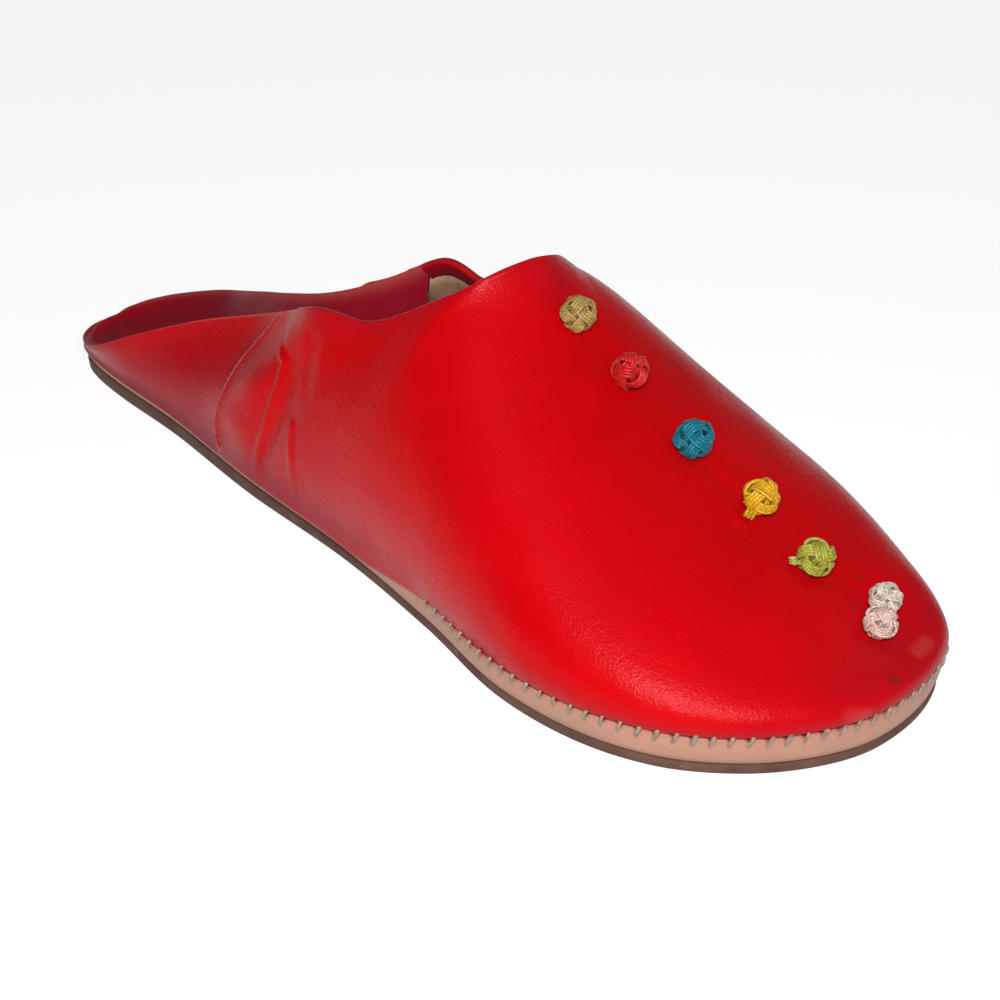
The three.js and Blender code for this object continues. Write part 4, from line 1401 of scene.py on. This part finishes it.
def add_tail(sheets, knot):
    """A short cut end of the strand, lying on the leather beside the knot."""
    place, normal = knot_ground(knot["spots"][0])
    way = np.array(knot["tail"])
    way = unit(way - normal * (way @ normal))
    across = np.cross(normal, way)
    for index in range(3):
        shift = across * (index - 1) * 0.75
        steps = np.array([1.5, 2.8, 3.9, 4.8])
        rise = np.array([2.3, 1.6, 1.1, 0.75 + 0.2 * index])
        path = place + way * steps[:, None] + normal * rise[:, None] + shift
        sheets.add(tube_grid(path, 0.42, 6), 0)


# Camera, floor and light
CAMERA_TURN = math.radians(39.2)
CAMERA_RISE = math.radians(31.3)
CAMERA_DISTANCE = 410
CAMERA_TARGET = (17.3, 0.0, 7.4)
CAMERA_LENS = 61.2
CAMERA_SENSOR = 36
FLOOR_REACH = 6.0
FLOOR_GREY = 0.24
FLOOR_GLOW = 0.85
WORLD_GLOW = 0.12
# Turn and rise in degrees, distance and size in metres, power in watts
LIGHTS = {"flash": (44, 38, 0.43, 0.11, 1.80), "overhead": (30, 72, 1.2, 0.9, 0.9)}
LIGHT_TARGET = (0.02, 0, 0.02)


def aim(obj, target):
    obj.rotation_mode = "QUATERNION"
    obj.rotation_quaternion = (Vector(target) - obj.location).to_track_quat("-Z", "Y")


def direction(turn_angle, rise_angle):
    flat = math.cos(rise_angle)
    return np.array([math.sin(turn_angle) * flat, -math.cos(turn_angle) * flat, math.sin(rise_angle)])


def make_camera():
    data = bpy.data.cameras.new("camera")
    data.lens = CAMERA_LENS
    data.sensor_width = CAMERA_SENSOR
    data.clip_start = 0.01
    camera = bpy.data.objects.new("camera", data)
    bpy.context.scene.collection.objects.link(camera)
    target = np.array(CAMERA_TARGET)
    back = direction(CAMERA_TURN, CAMERA_RISE)
    camera.location = to_frame(target + back * CAMERA_DISTANCE)
    aim(camera, to_frame(target))
    bpy.context.scene.camera = camera


def make_floor():
    mesh = bpy.data.meshes.new("floor")
    corners = [(x * FLOOR_REACH, y * FLOOR_REACH, 0) for x, y in ((-1, -1), (1, -1), (1, 1), (-1, 1))]
    mesh.from_pydata(corners, [], [(0, 1, 2, 3)])
    floor = bpy.data.objects.new("floor", mesh)
    bpy.context.scene.collection.objects.link(floor)
    material, _, shader, _ = new_material("pale_floor")
    shader.inputs["Base Color"].default_value = (FLOOR_GREY, FLOOR_GREY, FLOOR_GREY, 1)
    shader.inputs["Roughness"].default_value = 0.9
    shader.inputs["Specular IOR Level"].default_value = 0.1
    shader.inputs["Emission Color"].default_value = (1, 1, 1, 1)
    shader.inputs["Emission Strength"].default_value = FLOOR_GLOW
    mesh.materials.append(material)


def area_light(name, turn_angle, rise_angle, distance, size, power):
    data = bpy.data.lights.new(name, "AREA")
    data.shape = "DISK"
    data.size = size
    data.energy = power
    light = bpy.data.objects.new(name, data)
    bpy.context.scene.collection.objects.link(light)
    way = direction(math.radians(turn_angle), math.radians(rise_angle))
    light.location = Vector(way * distance)
    aim(light, LIGHT_TARGET)


def make_light():
    world = bpy.data.worlds.new("studio")
    bpy.context.scene.world = world
    world.use_nodes = True
    background = world.node_tree.nodes["Background"]
    background.inputs["Color"].default_value = (1, 1, 1, 1)
    background.inputs["Strength"].default_value = WORLD_GLOW
    for name, values in LIGHTS.items():
        area_light(name, *values)
    bpy.context.scene.view_settings.view_transform = "Standard"


KNOTS = [
    {"name": "knot_gold", "spots": [(-0.6966, 0.985)], "color": (0.40, 0.26, 0.075),
     "size": 0.93, "spin": 0.3, "tilt": 0.9},
    {"name": "knot_coral", "spots": [(-0.744, 0.998)], "color": (0.58, 0.010, 0.008),
     "size": 0.93, "spin": 0.9, "tilt": 0.25},
    {"name": "knot_teal", "spots": [(-0.804, 0.988)], "color": (0.002, 0.18, 0.25),
     "size": 1.0, "spin": 0.1, "tilt": 1.25},
    {"name": "knot_yellow", "spots": [(-0.8642, 0.992)], "color": (0.70, 0.39, 0.006),
     "size": 0.93, "spin": 2.1, "tilt": 0.8, "tail": (0.3, -1.0, 0)},
    {"name": "knot_olive", "spots": [(-0.9279, 0.949)], "color": (0.38, 0.38, 0.045),
     "size": 0.93, "spin": 1.3, "tilt": 1.1, "tail": (-1.0, -0.8, 0)},
    {"name": "knot_white", "spots": [(0.9946, 0.795), (-0.9919, 0.737)], "color": (0.70, 0.58, 0.49),
     "second": (0.68, 0.47, 0.41), "size": 0.82, "spin": 0.5, "tilt": 0.9},
]
KNOT_SPOTS = [knot_ground(spot)[0] for knot in KNOTS for spot in knot["spots"]]


red = red_leather()
lining = lining_leather()
pale = sole_leather()
brown = outsole_and_shadow()
waxed = thread("waxed_thread", (0.34, 0.25, 0.19), 0.6)
red_thread = thread("red_thread", (0.50, 0.04, 0.05), 0.4)

wall_shape = Wall()
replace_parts(build_wall(wall_shape, red, lining), "upper")
build_collar(wall_shape, red)
build_flap(wall_shape, red, lining)
seam_stitches(wall_shape, red_thread)
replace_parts(build_sole(pale), "sole")
whip_stitches(waxed)
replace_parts(build_outsole(brown), "outsole")
for knot in KNOTS:
    build_knot(knot)

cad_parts["insole"].material_slots[0].material = lining

make_camera()
make_floor()
make_light()
